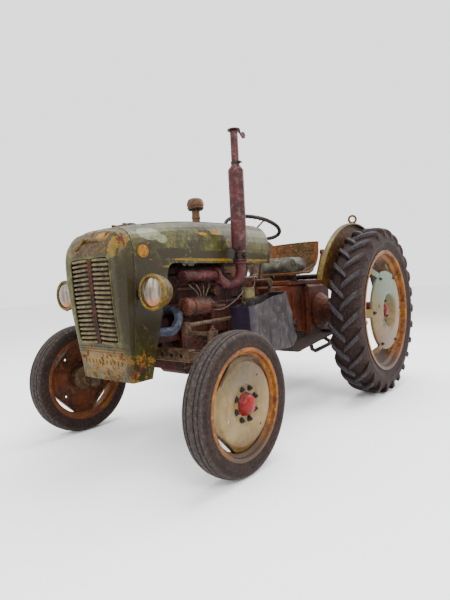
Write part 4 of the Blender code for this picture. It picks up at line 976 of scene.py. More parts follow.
@dataclass(frozen=True)
class Weathered:
    """Old paint or bare metal under dust, grime, chips and rust, with listed patches that are stains, painted shade
    and painted highlights.
    """

    name: str
    coat: Colour
    dark: Colour
    pale: Colour
    chip: Colour = CHIP_YELLOW
    rust: Colour = RUST
    chips: float = 0.3
    rusting: float = 0.3
    grime: float = 0.4
    grain: float = 1.0
    gloss: float = 0.45
    relief: float = 0.0012
    low: tuple[float, float] | None = None
    top: tuple[float, float] | None = None
    metal: float = 0.0
    stains_shades_and_highlights: tuple[StainShadeAndHighlight, ...] = ()

    def build(self) -> Material:
        """Builds the material.

        Returns:
            The material, with its patterns on Object coordinates.
        """
        r = Recipe(self.name)
        g = self.grain
        broad = r.noise(4.5 * g, 6, 0.62)
        mottle = r.noise(26 * g, 8, 0.7, shift=(3, 1, 2))
        streak = r.noise(7 * g, 6, 0.65, stretch=(5, 5, 0.7), shift=(1, 7, 4))
        fine = r.noise(260 * g, 3, 0.6)
        colour = r.mix(r.band(broad, 0.36, 0.66), self.dark, self.coat)
        colour = r.mix(r.band(mottle, 0.46, 0.74), colour, self.pale)
        colour = r.mix(r.times(r.band(streak, 0.5, 0.72), self.grime), colour, SOOT)
        for stain_shade_and_highlight in self.stains_shades_and_highlights:
            mask = r.spot(stain_shade_and_highlight)
            worn = r.mix(r.band(mottle, 0.4, 0.62), stain_shade_and_highlight.colour, self.dark)
            colour = r.mix(mask, colour, r.mix(0.62, worn, stain_shade_and_highlight.colour))
        wear = r.noise(15 * g, 11, 0.74, shift=(8, 2, 5), bend=0.35)
        limit = 0.74 - 0.26 * self.chips
        if self.low:
            edge = r.less(1.0, r.height(Axis.Z, *self.low))
            wear = r.plus(wear, r.times(edge, 0.13))
        if self.top:
            wear = r.plus(wear, r.times(r.height(Axis.Z, *self.top), 0.13))
        chipped = r.band(wear, limit, limit + 0.015)
        bare = r.band(wear, limit + 0.022, limit + 0.05)
        rust_tone = r.mix(r.band(r.noise(60 * g, 8, 0.7), 0.35, 0.68), RUST_DARK, self.rust)
        colour = r.mix(chipped, colour, self.chip)
        colour = r.mix(bare, colour, rust_tone)
        bloom = r.noise(8.5 * g, 10, 0.72, shift=(5, 9, 1), bend=0.2)
        if self.low:
            bloom = r.plus(bloom, r.times(edge, 0.16))
        start = 0.8 - 0.36 * self.rusting
        rusted = r.band(bloom, start, start + 0.1)
        colour = r.mix(rusted, colour, rust_tone)
        pitted = r.cells(230 * g)
        colour = r.mix(r.times(r.band(fine, 0.52, 0.78), 0.3), colour, SOOT)
        colour = r.mix(r.times(r.band(pitted, 0.42, 0.16), 0.22), colour, DUST)
        rough = r.plus(self.gloss, r.times(r.most(rusted, bare), 0.34))
        rough = r.plus(rough, r.times(mottle, 0.14))
        relief = r.plus(r.times(fine, 0.12), r.times(broad, 0.4))
        relief = r.less(relief, r.times(chipped, 0.12))
        relief = r.plus(relief, r.times(r.times(rusted, mottle), 0.45))
        return r.finish(colour, rough, relief, self.relief, self.metal)


@dataclass(frozen=True)
class OldRubber:
    """Weather-beaten tyre rubber: grey dust and a painted highlight on the tread, brown mud on the walls."""

    name: str
    middle: Point
    tread: float
    wall: Colour = RUBBER_BROWN
    crown: Colour = RUBBER_GREY
    mud: Colour = CLAY

    def build(self) -> Material:
        """Builds the material.

        Returns:
            The material; the tread's tone starts at a radius about the middle.
        """
        r = Recipe(self.name)
        radius = r.away((0.0, -self.middle[1], -self.middle[2]), (0, 1, 1))
        dust = r.noise(11, 9, 0.72)
        crack = r.noise(95, 6, 0.75, stretch=(1, 1, 1), bend=0.6)
        smear = r.noise(75, 9, 0.75, shift=(4, 4, 1))
        colour = r.mix(r.band(dust, 0.44, 0.8), self.wall, SOOT)
        colour = r.mix(r.times(r.band(smear, 0.36, 0.6), 0.55), SOOT, colour)
        # worn is the tread tops' tone: dark grey rubber mottled with a pale grey that is partly dust and partly a
        # painted highlight on the ridges.
        worn = r.mix(r.band(smear, 0.46, 0.72), self.crown, tint(128, 120, 110))
        top = r.band(radius, self.tread - 0.012, self.tread + 0.004)
        colour = r.mix(top, colour, worn)
        colour = r.mix(r.times(r.band(smear, 0.48, 0.78), 0.34), colour, self.mud)
        colour = r.mix(r.times(r.band(crack, 0.56, 0.7), 0.7), colour, SOOT)
        pale = r.band(r.noise(160, 4, 0.7, shift=(2, 6, 6)), 0.6, 0.74)
        colour = r.mix(r.times(pale, 0.5), colour, tint(150, 136, 122))
        relief = r.plus(r.times(crack, -0.5), r.times(smear, 0.6))
        return r.finish(colour, r.plus(0.62, r.times(dust, 0.3)), relief, 0.0016)


@dataclass(frozen=True)
class LampGlass:
    """Dulled, fluted lamp glass over a tarnished mirror."""

    name: str

    def build(self) -> Material:
        """Builds the material.

        Returns:
            The material.
        """
        r = Recipe(self.name)
        flutes = r.noise(1.0, 2, 0.5, stretch=(60, 1, 7))
        haze = r.noise(30, 8, 0.65)
        colour = r.mix(r.band(flutes, 0.4, 0.62), tint(128, 112, 92), tint(206, 196, 178))
        colour = r.mix(r.band(haze, 0.52, 0.74), colour, tint(120, 84, 50))
        low = r.less(1.0, r.height(Axis.Z, 0.826, 0.868))
        colour = r.mix(r.times(low, r.band(haze, 0.36, 0.54)), colour, tint(196, 120, 44))
        return r.finish(
            colour, r.plus(0.1, r.times(haze, 0.28)), flutes, 0.002, 0.55, Coat_Weight=0.7,
            Coat_Roughness=0.08)


@dataclass(frozen=True)
class Hide:
    """Old seat cover: creased vinyl, greyed and split."""

    name: str
    tone: Colour
    shade: Colour

    def build(self) -> Material:
        """Builds the material.

        Returns:
            The material.
        """
        r = Recipe(self.name)
        cloudy = r.noise(14, 8, 0.68)
        grain = r.cells(420)
        crease = r.noise(34, 7, 0.72, stretch=(1.0, 0.35, 1.0), bend=1.4)
        colour = r.mix(r.band(cloudy, 0.4, 0.64), self.shade, self.tone)
        colour = r.mix(r.times(r.band(crease, 0.54, 0.66), 0.75), colour, SOOT)
        colour = r.mix(r.band(r.noise(52, 8, 0.7, shift=(6, 1, 3)), 0.6, 0.72), colour, DUST)
        relief = r.plus(r.times(grain, 0.25), r.times(crease, -0.9))
        return r.finish(
            colour, r.plus(0.4, r.times(cloudy, 0.3)), relief, 0.0022, Sheen_Weight=0.12,
            Sheen_Roughness=0.5)


class Shades:
    """Every finish of the machine, built once."""

    def __init__(self) -> None:
        """Builds the materials."""
        # The first two hood patches, whitish on the upper left of the hood near the front, are a painted highlight.
        patches = (
            StainShadeAndHighlight((0.222, -1.262, 1.172), (0.06, 0.078, 0.036), tint(176, 176, 150), 0.16),
            StainShadeAndHighlight((0.234, -1.188, 1.148), (0.05, 0.04, 0.024), tint(166, 166, 138), 0.2),
            StainShadeAndHighlight((0.242, -0.64, 1.146), (0.04, 0.03, 0.026), tint(166, 152, 104), 0.2),
            StainShadeAndHighlight((0.228, -0.74, 1.204), (0.03, 0.05, 0.014), CHIP_YELLOW, 0.4),
            StainShadeAndHighlight((0.226, -0.86, 1.19), (0.03, 0.034, 0.01), CHIP_YELLOW, 0.5),
            StainShadeAndHighlight((0.245, -1.15, 1.006), (0.02, 0.06, 0.006), CHIP_YELLOW, 0.6),
            StainShadeAndHighlight((0.25, -1.29, 0.8), (0.05, 0.15, 0.32), OLIVE_DARK, 0.45, 0.35),
            StainShadeAndHighlight((0.14, -1.3, 1.225), (0.14, 0.012, 0.02), SOOT, 0.4), StainShadeAndHighlight((0.255, -1.3, 0.93),
            (0.03, 0.08, 0.17), OLIVE_DARK, 0.5), StainShadeAndHighlight((0.247, -1.12, 1.075), (0.02, 0.11, 0.03),
            OLIVE_DARK, 0.5), StainShadeAndHighlight((0.247, -0.64, 1.068), (0.02, 0.44, 0.03), OLIVE_DARK, 0.4),
            StainShadeAndHighlight((0.247, -0.7, 1.043), (0.02, 0.48, 0.008), tint(168, 132, 52), 0.6))
        self.hood = Weathered(
            "olive_paint", OLIVE, OLIVE_DARK, OLIVE_PALE, chips=0.34, rusting=0.24, grime=0.75,
            gloss=0.3, relief=0.002, low=(0.5, 0.72), stains_shades_and_highlights=patches).build()
        brow = (
            StainShadeAndHighlight((0.25, -1.4, 0.82), (0.09, 0.14, 0.33), OLIVE_DARK, 0.45, 0.35),
            StainShadeAndHighlight((0.0, -1.44, 0.545), (0.175, 0.09, 0.06), tint(172, 140, 92), 0.6, 0.3),
            StainShadeAndHighlight((0.0, -1.46, 1.135), (0.15, 0.05, 0.052), tint(104, 84, 48), 0.35),
            StainShadeAndHighlight((0.0, -1.47, 1.09), (0.19, 0.05, 0.016), CHIP_YELLOW, 0.5),
            StainShadeAndHighlight((0.1, -1.46, 1.165), (0.05, 0.05, 0.02), CHIP_YELLOW, 0.5),
            StainShadeAndHighlight((0.19, -1.44, 1.1), (0.03, 0.06, 0.06), tint(158, 128, 62), 0.5))
        self.nose = Weathered(
            "nose_paint", OLIVE, OLIVE_DARK, OLIVE_PALE, chips=0.4, chip=tint(176, 134, 66),
            rust=tint(128, 84, 44), grime=0.6, gloss=0.34, relief=0.003, low=(0.52, 0.7),
            top=(1.06, 1.15), stains_shades_and_highlights=brow).build()
        self.fender = Weathered(
            "fender_paint", tint(112, 66, 34), RUST_DARK, tint(150, 120, 52), chips=0.42,
            rusting=0.45, grime=0.6, gloss=0.5).build()
        self.lip = Weathered(
            "fender_lip", tint(128, 112, 38), tint(84, 60, 28), tint(176, 152, 60), chips=0.44,
            rusting=0.45, gloss=0.4).build()
        self.slats = Weathered(
            "slat_metal", tint(146, 130, 96), tint(90, 76, 56), tint(196, 184, 146),
            rust=RUST_BRIGHT, chips=0.36, rusting=0.38, grime=0.5, grain=1.6, gloss=0.42).build()
        self.iron = Weathered(
            "engine_iron", tint(96, 50, 44), tint(24, 16, 17), tint(140, 84, 64),
            chip=tint(160, 100, 70), chips=0.36, rusting=0.36, grime=0.9, grain=2.0, gloss=0.5,
            relief=0.0034).build()
        self.parts = Weathered(
            "engine_parts", tint(118, 70, 58), tint(34, 22, 22), tint(166, 124, 104),
            chip=tint(180, 150, 128), chips=0.42, rusting=0.34, grime=0.9, grain=3.2, gloss=0.4,
            relief=0.0018).build()
        self.cast = Weathered(
            "gearbox_rust", tint(128, 62, 34), tint(58, 30, 22), tint(158, 96, 60), chips=0.26,
            rusting=0.5, grime=0.8, grain=1.3, gloss=0.55, relief=0.0034, rust=RUST_BRIGHT).build()
        self.axle = Weathered(
            "axle_metal", tint(104, 80, 62), tint(56, 40, 32), tint(150, 130, 100), rusting=0.42,
            grime=0.6, grain=1.8, gloss=0.5, relief=0.0018).build()
        self.exhaust = Weathered(
            "exhaust_rust", MAROON, tint(62, 30, 34), PINK_ASH, chip=tint(170, 140, 128),
            rust=tint(120, 46, 34), grime=0.5, grain=1.3).build()
        # The first patch on the cream discs, a darker grey over the top of the left front disc, is painted shade; the
        # second is a brown patch at the disc's foot.
        self.cream = Weathered(
            "wheel_cream", CREAM, tint(162, 136, 98), tint(196, 176, 136), chip=tint(120, 88, 56),
            rust=tint(116, 74, 44), chips=0.14, rusting=0.16, grime=0.2, grain=1.6, gloss=0.34,
            stains_shades_and_highlights=(StainShadeAndHighlight((0.7, -1.138, 0.545), (0.2, 0.26, 0.15), tint(116, 102, 84), 0.12, 0.55),
            StainShadeAndHighlight((0.7, -1.138, 0.12), (0.2, 0.2, 0.09), tint(128, 98, 60), 0.2, 0.45))).build()
        self.far_disc = Weathered(
            "wheel_brown", tint(128, 70, 42), tint(66, 38, 28), tint(156, 110, 78), chips=0.25,
            rusting=0.45, grime=0.5, grain=1.6, gloss=0.5).build()
        grey_foot = (
            StainShadeAndHighlight((0.66, -1.16, 0.075), (0.3, 0.26, 0.12), tint(92, 80, 68), 0.15, 0.5),
            StainShadeAndHighlight((0.66, 0.6, 0.18), (0.3, 0.4, 0.12), tint(96, 82, 74), 0.15, 0.5))
        self.rim = Weathered(
            "rim_rust", tint(180, 116, 62), tint(116, 64, 34), tint(206, 158, 100),
            chip=tint(150, 132, 110), rust=RUST_BRIGHT, chips=0.25, rusting=0.35, grime=0.35,
            grain=1.8, gloss=0.42, stains_shades_and_highlights=grey_foot).build()
        self.disc = Weathered(
            "disc_paint", tint(160, 138, 100), tint(138, 114, 78), tint(172, 156, 122),
            chip=tint(104, 80, 54), chips=0.1, rusting=0.08, grime=0.2, grain=1.2, gloss=0.34,
            stains_shades_and_highlights=(StainShadeAndHighlight((0.72, 0.62, 0.88), (0.2, 0.3, 0.19), CREAM_GREEN, 0.12, 0.5),
            StainShadeAndHighlight((0.72, 0.66, 0.36), (0.2, 0.34, 0.15), tint(122, 90, 60), 0.12, 0.5),
            StainShadeAndHighlight((0.72, 0.56, 0.56), (0.2, 0.05, 0.055), tint(70, 52, 36), 0.9, 0.1))).build()
        self.red = Weathered(
            "red_paint", SIGNAL_RED, tint(96, 14, 14), tint(204, 66, 56), chip=tint(112, 40, 30),
            chips=0.22, rusting=0.15, grime=0.5, grain=4.0, gloss=0.3, relief=0.0008).build()
        self.dark = Weathered(
            "dark_fittings", tint(58, 46, 42), tint(26, 20, 20), tint(104, 88, 78), rusting=0.34,
            grime=0.6, grain=3.0, gloss=0.42, relief=0.001).build()
        self.tub = Weathered(
            "tub_zinc", tint(92, 86, 88), tint(58, 52, 56), tint(132, 126, 122),
            chip=tint(168, 162, 154), chips=0.22, rusting=0.12, grime=0.25, grain=0.9, gloss=0.36,
            relief=0.003, metal=0.3, stains_shades_and_highlights=(StainShadeAndHighlight((0.39, -0.79, 0.62), (0.2, 0.06, 0.3),
            tint(64, 50, 78), 0.2, 0.4),)).build()
        self.hose = Weathered(
            "hose_rubber", BLUE_GREY, tint(48, 50, 60), tint(140, 146, 160), chips=0.12,
            rusting=0.1, grime=0.5, grain=2.0).build()
        self.lamp = Weathered(
            "lamp_paint", tint(112, 92, 48), tint(58, 48, 28), tint(186, 150, 72), chips=0.46,
            rusting=0.42, grime=0.6, grain=2.8, gloss=0.4).build()
        self.lamp_rim = Weathered(
            "lamp_rim", tint(150, 122, 52), tint(84, 66, 34), tint(198, 168, 88), rust=RUST_BRIGHT,
            chips=0.4, rusting=0.42, grime=0.6, grain=4.0, gloss=0.35).build()
        self.brow = Weathered(
            "brow_metal", tint(104, 78, 44), tint(56, 42, 28), tint(168, 136, 78),
            rust=tint(120, 66, 38), chips=0.42, rusting=0.36, grime=0.8, grain=3.0, gloss=0.4,
            relief=0.003).build()
        self.glass = LampGlass("lamp_glass").build()
        self.pan = Weathered(
            "seat_paint", tint(150, 84, 44), tint(86, 66, 38), tint(188, 150, 100), chips=0.42,
            rusting=0.36, grime=0.5, grain=1.8).build()
        self.hide = Hide("seat_vinyl", tint(128, 122, 104), tint(62, 58, 48)).build()
        self.grip = Weathered(
            "wheel_resin", tint(48, 34, 28), tint(22, 17, 16), tint(90, 68, 54), chips=0.14,
            rusting=0.12, grain=3.0, gloss=0.3, relief=0.0006).build()
        self.bowl = Weathered(
            "filter_bowl", tint(188, 172, 132), tint(120, 96, 66), tint(214, 204, 176), chips=0.2,
            rusting=0.2, grain=4.0, gloss=0.24).build()
        self.breather = Weathered(
            "breather_rust", tint(128, 84, 50), tint(78, 58, 48), tint(160, 132, 98), chips=0.36,
            rusting=0.42, grime=0.6, grain=2.6).build()
        self.pipe = Weathered(
            "pipe_steel", tint(140, 120, 104), tint(78, 58, 48), tint(186, 172, 156), grain=4.0,
            gloss=0.36, relief=0.0005).build()
        self.plate = Weathered(
            "blank_plate", tint(204, 148, 48), tint(146, 92, 34), tint(226, 186, 92), rusting=0.25,
            grime=0.3, grain=5.0, gloss=0.4, relief=0.0006).build()


# ---- Sub-assemblies -------------------------------------------------------------------
@dataclass
class Assembly:
    """One sub-assembly, built in the shared finishes."""

    shades: Shades

    def build(self) -> None:
        """Builds and dresses the pieces."""
        raise NotImplementedError


def dress(node: str, finish: Material) -> None:
    """Gives a CAD node its one finish."""
    frame["nodes"][node].data.materials.clear()
    frame["nodes"][node].data.materials.append(finish)


# ---- Wheels and tyres -----------------------------------------------------------------
def middle(node: str) -> Vector:
    """Gives the middle of a CAD node's box."""
    low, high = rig.box(node)
    return (low + high) / 2


def both_ways(half: Profile) -> list[tuple[float, float]]:
    """Completes a section given from its outer edge to the middle."""
    return [*half, *[(radius, -along) for radius, along in reversed(half[:-1])]]


def rim_section(rim: Profile, lining: Profile) -> list[tuple[float, float]]:
    """Closes a rim's section with its inner side.

    Args:
        rim: The side under the tyre, from its outer edge to the middle.
        lining: The side towards the disc, from the middle to its outer edge.

    Returns:
        The whole section.
    """
    inside = [*lining[::-1], *[(radius, -along) for radius, along in lining[1:]]]
    return [*both_ways(rim), *inside[::-1]]


def wheel_place(centre: Vector, sign: float) -> Matrix:
    """Gives the place of a left wheel (+1), or of a right one (-1) turned to face outwards."""
    return Matrix.Translation(centre) @ Matrix.Rotation(0.0 if sign > 0 else pi, 4, "Z")


@dataclass
class FrontTyres(Assembly):
    """The two ribbed front tyres."""

    sides: int = 112
    section: Profile = (
        (0.2465, 0.044), (0.262, 0.0515), (0.268, 0.0545), (0.271, 0.0545), (0.285, 0.059),
        (0.298, 0.0605), (0.301, 0.061), (0.304, 0.0603), (0.315, 0.058), (0.3265, 0.0535),
        (0.332, 0.05), (0.3338, 0.047), (0.3342, 0.0425), (0.3292, 0.041), (0.3288, 0.038),
        (0.3375, 0.0362), (0.3398, 0.03), (0.34, 0.0232), (0.3335, 0.0215), (0.333, 0.017),
        (0.3405, 0.0152), (0.342, 0.01), (0.342, 0.0))

    def build(self) -> None:
        """Builds both tyres."""
        for side, _ in SIDES:
            node = f"front_tyre_{side}"
            centre = middle(node)
            shape = Shape().turn(both_ways(self.section), Axis.X, centre, self.sides)
            rubber = OldRubber(f"front_rubber_{side}", tuple(centre), 0.326).build()
            part(f"{node}_casing", shape, rubber, f"front_wheel_{side}", node, sharp=30)


@dataclass
class RearTyres(Assembly):
    """The two rear tyres: a casing with slanted lugs that meet in arrows."""

    sides: int = 128
    lugs: int = 26
    section: Profile = (
        (0.4355, 0.079), (0.452, 0.088), (0.462, 0.094), (0.466, 0.0935), (0.49, 0.1035),
        (0.512, 0.11), (0.516, 0.1118), (0.52, 0.1105), (0.54, 0.1105), (0.56, 0.1075),
        (0.578, 0.1), (0.59, 0.09), (0.598, 0.075), (0.604, 0.045), (0.606, 0.0))
    tops: Sequence[Point] = (
        (-0.012, -1.6, 0.627), (0.0, -0.4, 0.6345), (0.022, 1.5, 0.635), (0.045, 3.5, 0.6338),
        (0.068, 5.5, 0.6305), (0.088, 7.3, 0.625), (0.1025, 8.7, 0.614), (0.111, 9.7, 0.598),
        (0.1142, 10.5, 0.574), (0.1135, 11.0, 0.552))
    feet: Profile = (
        (-0.012, 0.598), (0.0, 0.6), (0.022, 0.6), (0.045, 0.599), (0.068, 0.594), (0.084, 0.586),
        (0.094, 0.575), (0.099, 0.566), (0.102, 0.556), (0.106, 0.546))

    def lug(self) -> Shape:
        """Builds one left lug at the top of a wheel whose middle is the origin.

        Returns:
            The lug.
        """
        rows = []
        for k, ((x, turn, high), (foot_x, low)) in enumerate(zip(self.tops, self.feet)):
            wide = 0.0125 + 0.0012 * min(k, 7)
            row = []
            for across, out, radius in (
                    (-wide - 0.007, foot_x, low), (-wide, x, high - 0.003),
                    (-wide + 0.003, x, high), (wide - 0.003, x, high), (wide, x, high - 0.003),
                    (wide + 0.007, foot_x, low)):
                angle = radians(turn) + across / radius
                row.append((out, radius * sin(angle), radius * cos(angle)))
            rows.append(row)
        return Shape().loft(rows)

    def build(self) -> None:
        """Builds both tyres."""
        for side, _ in SIDES:
            node, body = f"rear_tyre_{side}", f"rear_wheel_{side}"
            centre = middle(node)
            rubber = OldRubber(
                f"rear_rubber_{side}", tuple(centre), 0.618, tint(88, 62, 56), tint(66, 62, 70),
                tint(126, 84, 62)).build()
            casing = Shape().turn(both_ways(self.section), Axis.X, centre, self.sides)
            part(f"{node}_casing", casing, rubber, body, node, sharp=30)
            lug = self.lug()
            halves = ((lug, 0.0, "outer"), (lug.on_side(-1), pi / self.lugs, "inner"))
            for item, phase, where in halves:
                places = ring_places(centre, Axis.X, 0.0, self.lugs, phase)
                STAMPER.run(f"{node}_lugs_{where}", item, places, rubber, body, seed=3, sharp=40)


def dished(
        profile: Profile, thick: float, sides: int, cut_back: Sequence[float] = (),
        chord: float = 1.0) -> Shape:
    """Builds a dished disc about X with flats cut from its edge.

    Args:
        profile: (radius, offset) pairs from the edge to the middle.
        thick: The sheet's thickness.
        sides: Number of sides.
        cut_back: Angles of the middles of the flats.
        chord: Distance of each flat from the axis.

    Returns:
        The disc, closed, round the origin.
    """
    rows = []
    for back in (0.0, thick):
        face = []
        for radius, along in profile:
            row = []
            for k in range(sides):
                angle = TAU * k / sides
                reach = radius
                for where in cut_back:
                    swing = remainder(angle - where, TAU)
                    if abs(swing) < 0.9:
                        reach = min(reach, chord / cos(swing))
                row.append((along - back, reach * sin(angle), reach * cos(angle)))
            face.append(row)
        rows += face if not back else face[::-1]
    return Shape().grid(rows, loop=True, ring=True)


def drilled(mesh: Mesh, cutters: Shape) -> Mesh:
    """Cuts closed shapes out of a closed mesh.

    Args:
        mesh: The mesh.
        cutters: The shapes to cut away.

    Returns:
        The cut mesh.
    """
    body = shown("drilled_body", mesh)
    tool = shown("drilled_tool", cutters.mesh("drilled_tool"))
    cut = body.modifiers.new("cut", "BOOLEAN")
    cut.operation, cut.solver, cut.object = "DIFFERENCE", "EXACT", tool
    return settled(body, tool)


def two_tone(piece: Piece, second: Material, outward: float, limit: float = -0.25) -> None:
    """Gives the faces that look inwards along X another finish.

    Args:
        piece: The piece.
        second: The other finish.
        outward: +1 where outwards is +X, -1 where it is -X.
        limit: How far a face has to lean inwards.
    """
    piece.data.materials.append(second)
    for face in piece.data.polygons:
        face.material_index = 1 if face.normal.x * outward < limit else 0


@dataclass
class FrontWheels(Assembly):
    """Front rims, dished discs, hub caps and nuts."""

    nut_circle: float = 0.077
    rim: Profile = (
        (0.2605, 0.053), (0.263, 0.0515), (0.2605, 0.049), (0.248, 0.0478), (0.2455, 0.042),
        (0.244, 0.034), (0.23, 0.022), (0.23, 0.0))
    lining: Profile = (
        (0.2262, 0.0), (0.2262, 0.0238), (0.24, 0.0362), (0.2415, 0.043), (0.244, 0.052),
        (0.256, 0.0535))
    disc: Profile = (
        (0.2272, 0.0), (0.227, 0.01), (0.224, 0.0185), (0.216, 0.025), (0.2085, 0.027),
        (0.2, 0.033), (0.196, 0.04), (0.19, 0.0435), (0.17, 0.0475), (0.145, 0.0495),
        (0.115, 0.047), (0.098, 0.043), (0.09, 0.04), (0.084, 0.0372), (0.078, 0.0365),
        (0.0, 0.0365))
    cap: Profile = (
        (0.0, 0.079), (0.012, 0.078), (0.03, 0.0745), (0.042, 0.068), (0.049, 0.059),
        (0.053, 0.048), (0.057, 0.042), (0.057, 0.0355), (0.0, 0.0355))
    drum: Profile = (
        (0.0, 0.03), (0.06, 0.03), (0.07, 0.024), (0.072, -0.03), (0.05, -0.045), (0.044, -0.092),
        (0.04, -0.097), (0.021, -0.097), (0.021, -0.06), (0.0, -0.06))

    def build(self) -> None:
        """Builds both wheels."""
        section = rim_section(self.rim, self.lining)
        flats = [pi / 4 + k * pi / 2 for k in range(4)]
        disc = dished(self.disc, 0.004, 144, flats, 0.2)
        pins = Shape()
        for turn in (0.62, 2.45, 4.4):
            at = (0.0, 0.15 * sin(turn), 0.15 * cos(turn))
            pins.turn([(0, 0.1), (0.0065, 0.1), (0.0065, -0.02), (0, -0.02)], Axis.X, at, 14)
        face = drilled(disc.mesh("front_disc"), pins)
        for side, sign in SIDES:
            body = node = f"front_wheel_{side}"
            centre = middle(f"front_tyre_{side}")
            place = wheel_place(centre, sign)
            rim = Shape().turn(section, Axis.X, ORIGIN, 112).moved(place)
            rim_piece = part(f"{node}_rim", rim, self.shades.rim, body, node, sharp=30)
            two_tone(rim_piece, self.shades.far_disc, sign, -0.6)
            mesh = face.copy()
            mesh.transform(place)
            disc_piece = part(f"{node}_disc", mesh, self.shades.cream, body)
            mesh.shade_smooth()
            mesh.set_sharp_from_angle(angle=radians(30))
            two_tone(disc_piece, self.shades.far_disc, sign, -0.05)
            hub = Shape().turn(self.cap, Axis.X, ORIGIN, 9).moved(place)
            part(f"{node}_cap", hub, self.shades.red, body, sharp=24)
            drum = Shape().turn(self.drum, Axis.X, ORIGIN, 40).moved(place)
            part(f"{node}_drum", drum, self.shades.axle, body)
            out = Vector((sign, 0, 0))
            nuts = [
                (p, out) for p, _ in ring_places(centre, Axis.X, self.nut_circle, 8, 0.3,
                sign * 0.0365)]
            fixings(f"{node}_nuts", Fixing.NUT, nuts, self.shades.dark, 1.7, body)


@dataclass
class RearWheels(Assembly):
    """Rear rims, domed discs, the brackets between them and the bolts."""

    rim: Profile = (
        (0.454, 0.1), (0.4575, 0.097), (0.4545, 0.093), (0.4375, 0.091), (0.434, 0.084),
        (0.432, 0.062), (0.412, 0.042), (0.412, 0.0))
    lining: Profile = (
        (0.407, 0.0), (0.407, 0.045), (0.4275, 0.065), (0.429, 0.085), (0.432, 0.096),
        (0.445, 0.1005))
    disc: Profile = (
        (0.299, 0.076), (0.3, 0.085), (0.296, 0.091), (0.28, 0.0965), (0.25, 0.1035), (0.21, 0.109),
        (0.175, 0.1125), (0.15, 0.1135), (0.136, 0.112), (0.127, 0.106), (0.12, 0.09),
        (0.114, 0.072), (0.106, 0.061), (0.098, 0.058), (0.0, 0.058))
    hub: Profile = (
        (0.0, 0.098), (0.018, 0.0975), (0.032, 0.094), (0.04, 0.086), (0.043, 0.072),
        (0.054, 0.064), (0.054, 0.055), (0.0, 0.055))
    brackets: int = 6

    def bracket(self) -> Shape:
        """Builds the top bracket: a folded strap from the disc's edge to the rim.

        Returns:
            The bracket, for a left wheel whose middle is the origin.
        """
        path = (
            (0.26, 0.086), (0.305, 0.08), (0.33, 0.056), (0.362, 0.03), (0.395, 0.026),
            (0.408, 0.026))
        rows = []
        for spot in smooth_path([(r, a, 0.0) for r, a in path], 4):
            radius, along = spot.x, spot.y
            wide = 0.026 + 0.01 * (radius - 0.26) / 0.15
            rows.append(
                [(along, -wide, radius), (along + 0.007, -wide, radius + 0.004),
                (along + 0.007, wide, radius + 0.004), (along, wide, radius)])
        return Shape().loft(rows)

    def build(self) -> None:
        """Builds both wheels."""
        section = rim_section(self.rim, self.lining)
        disc = dished(self.disc, 0.006, 144)
        slot = Shape().box((0.05, -0.012, 0.208), (0.2, 0.012, 0.222), 0.0)
        slot.plus(Shape().box((0.05, -0.012, -0.222), (0.2, 0.012, -0.208), 0.0))
        turned = slot.moved(Matrix.Rotation(radians(78), 4, "X"))
        face = drilled(disc.mesh("rear_disc"), turned)
        for side, sign in SIDES:
            body = node = f"rear_wheel_{side}"
            centre = middle(f"rear_tyre_{side}")
            place = wheel_place(centre, sign)
            rim = Shape().turn(section, Axis.X, ORIGIN, 128).moved(place)
            part(f"{node}_rim", rim, self.shades.rim, body, node, sharp=30)
            mesh = face.copy()
            mesh.transform(place)
            part(f"{node}_disc", mesh, self.shades.disc, body)
            mesh.shade_smooth()
            mesh.set_sharp_from_angle(angle=radians(30))
            boss = Shape().turn(self.hub, Axis.X, ORIGIN, 32)
            boss.turn(
                [(0, -0.118), (0.062, -0.118), (0.066, -0.11), (0.066, 0.028), (0, 0.028)], Axis.X,
                ORIGIN, 32)
            part(f"{node}_hub", boss.moved(place), self.shades.red, body)
            turns = [
                (Vector(centre), turn) for _, turn in ring_places(centre, Axis.X, 0.0,
                self.brackets, pi / 6)]
            item = self.bracket() if sign > 0 else self.bracket().moved(Matrix.Rotation(pi, 4, "Z"))
            STAMPER.run(f"{node}_brackets", item, turns, self.shades.disc, body, seed=2, sharp=34)
            out = Vector((sign, 0, 0))
            nuts = [(p, out) for p, _ in ring_places(centre, Axis.X, 0.082, 8, 0.2, sign * 0.058)]
            nuts += [
                (p, out) for p, _ in ring_places(centre, Axis.X, 0.278, 6, pi / 6, sign * 0.0965)]
            fixings(f"{node}_nuts", Fixing.NUT, nuts, self.shades.dark, 1.5, body)


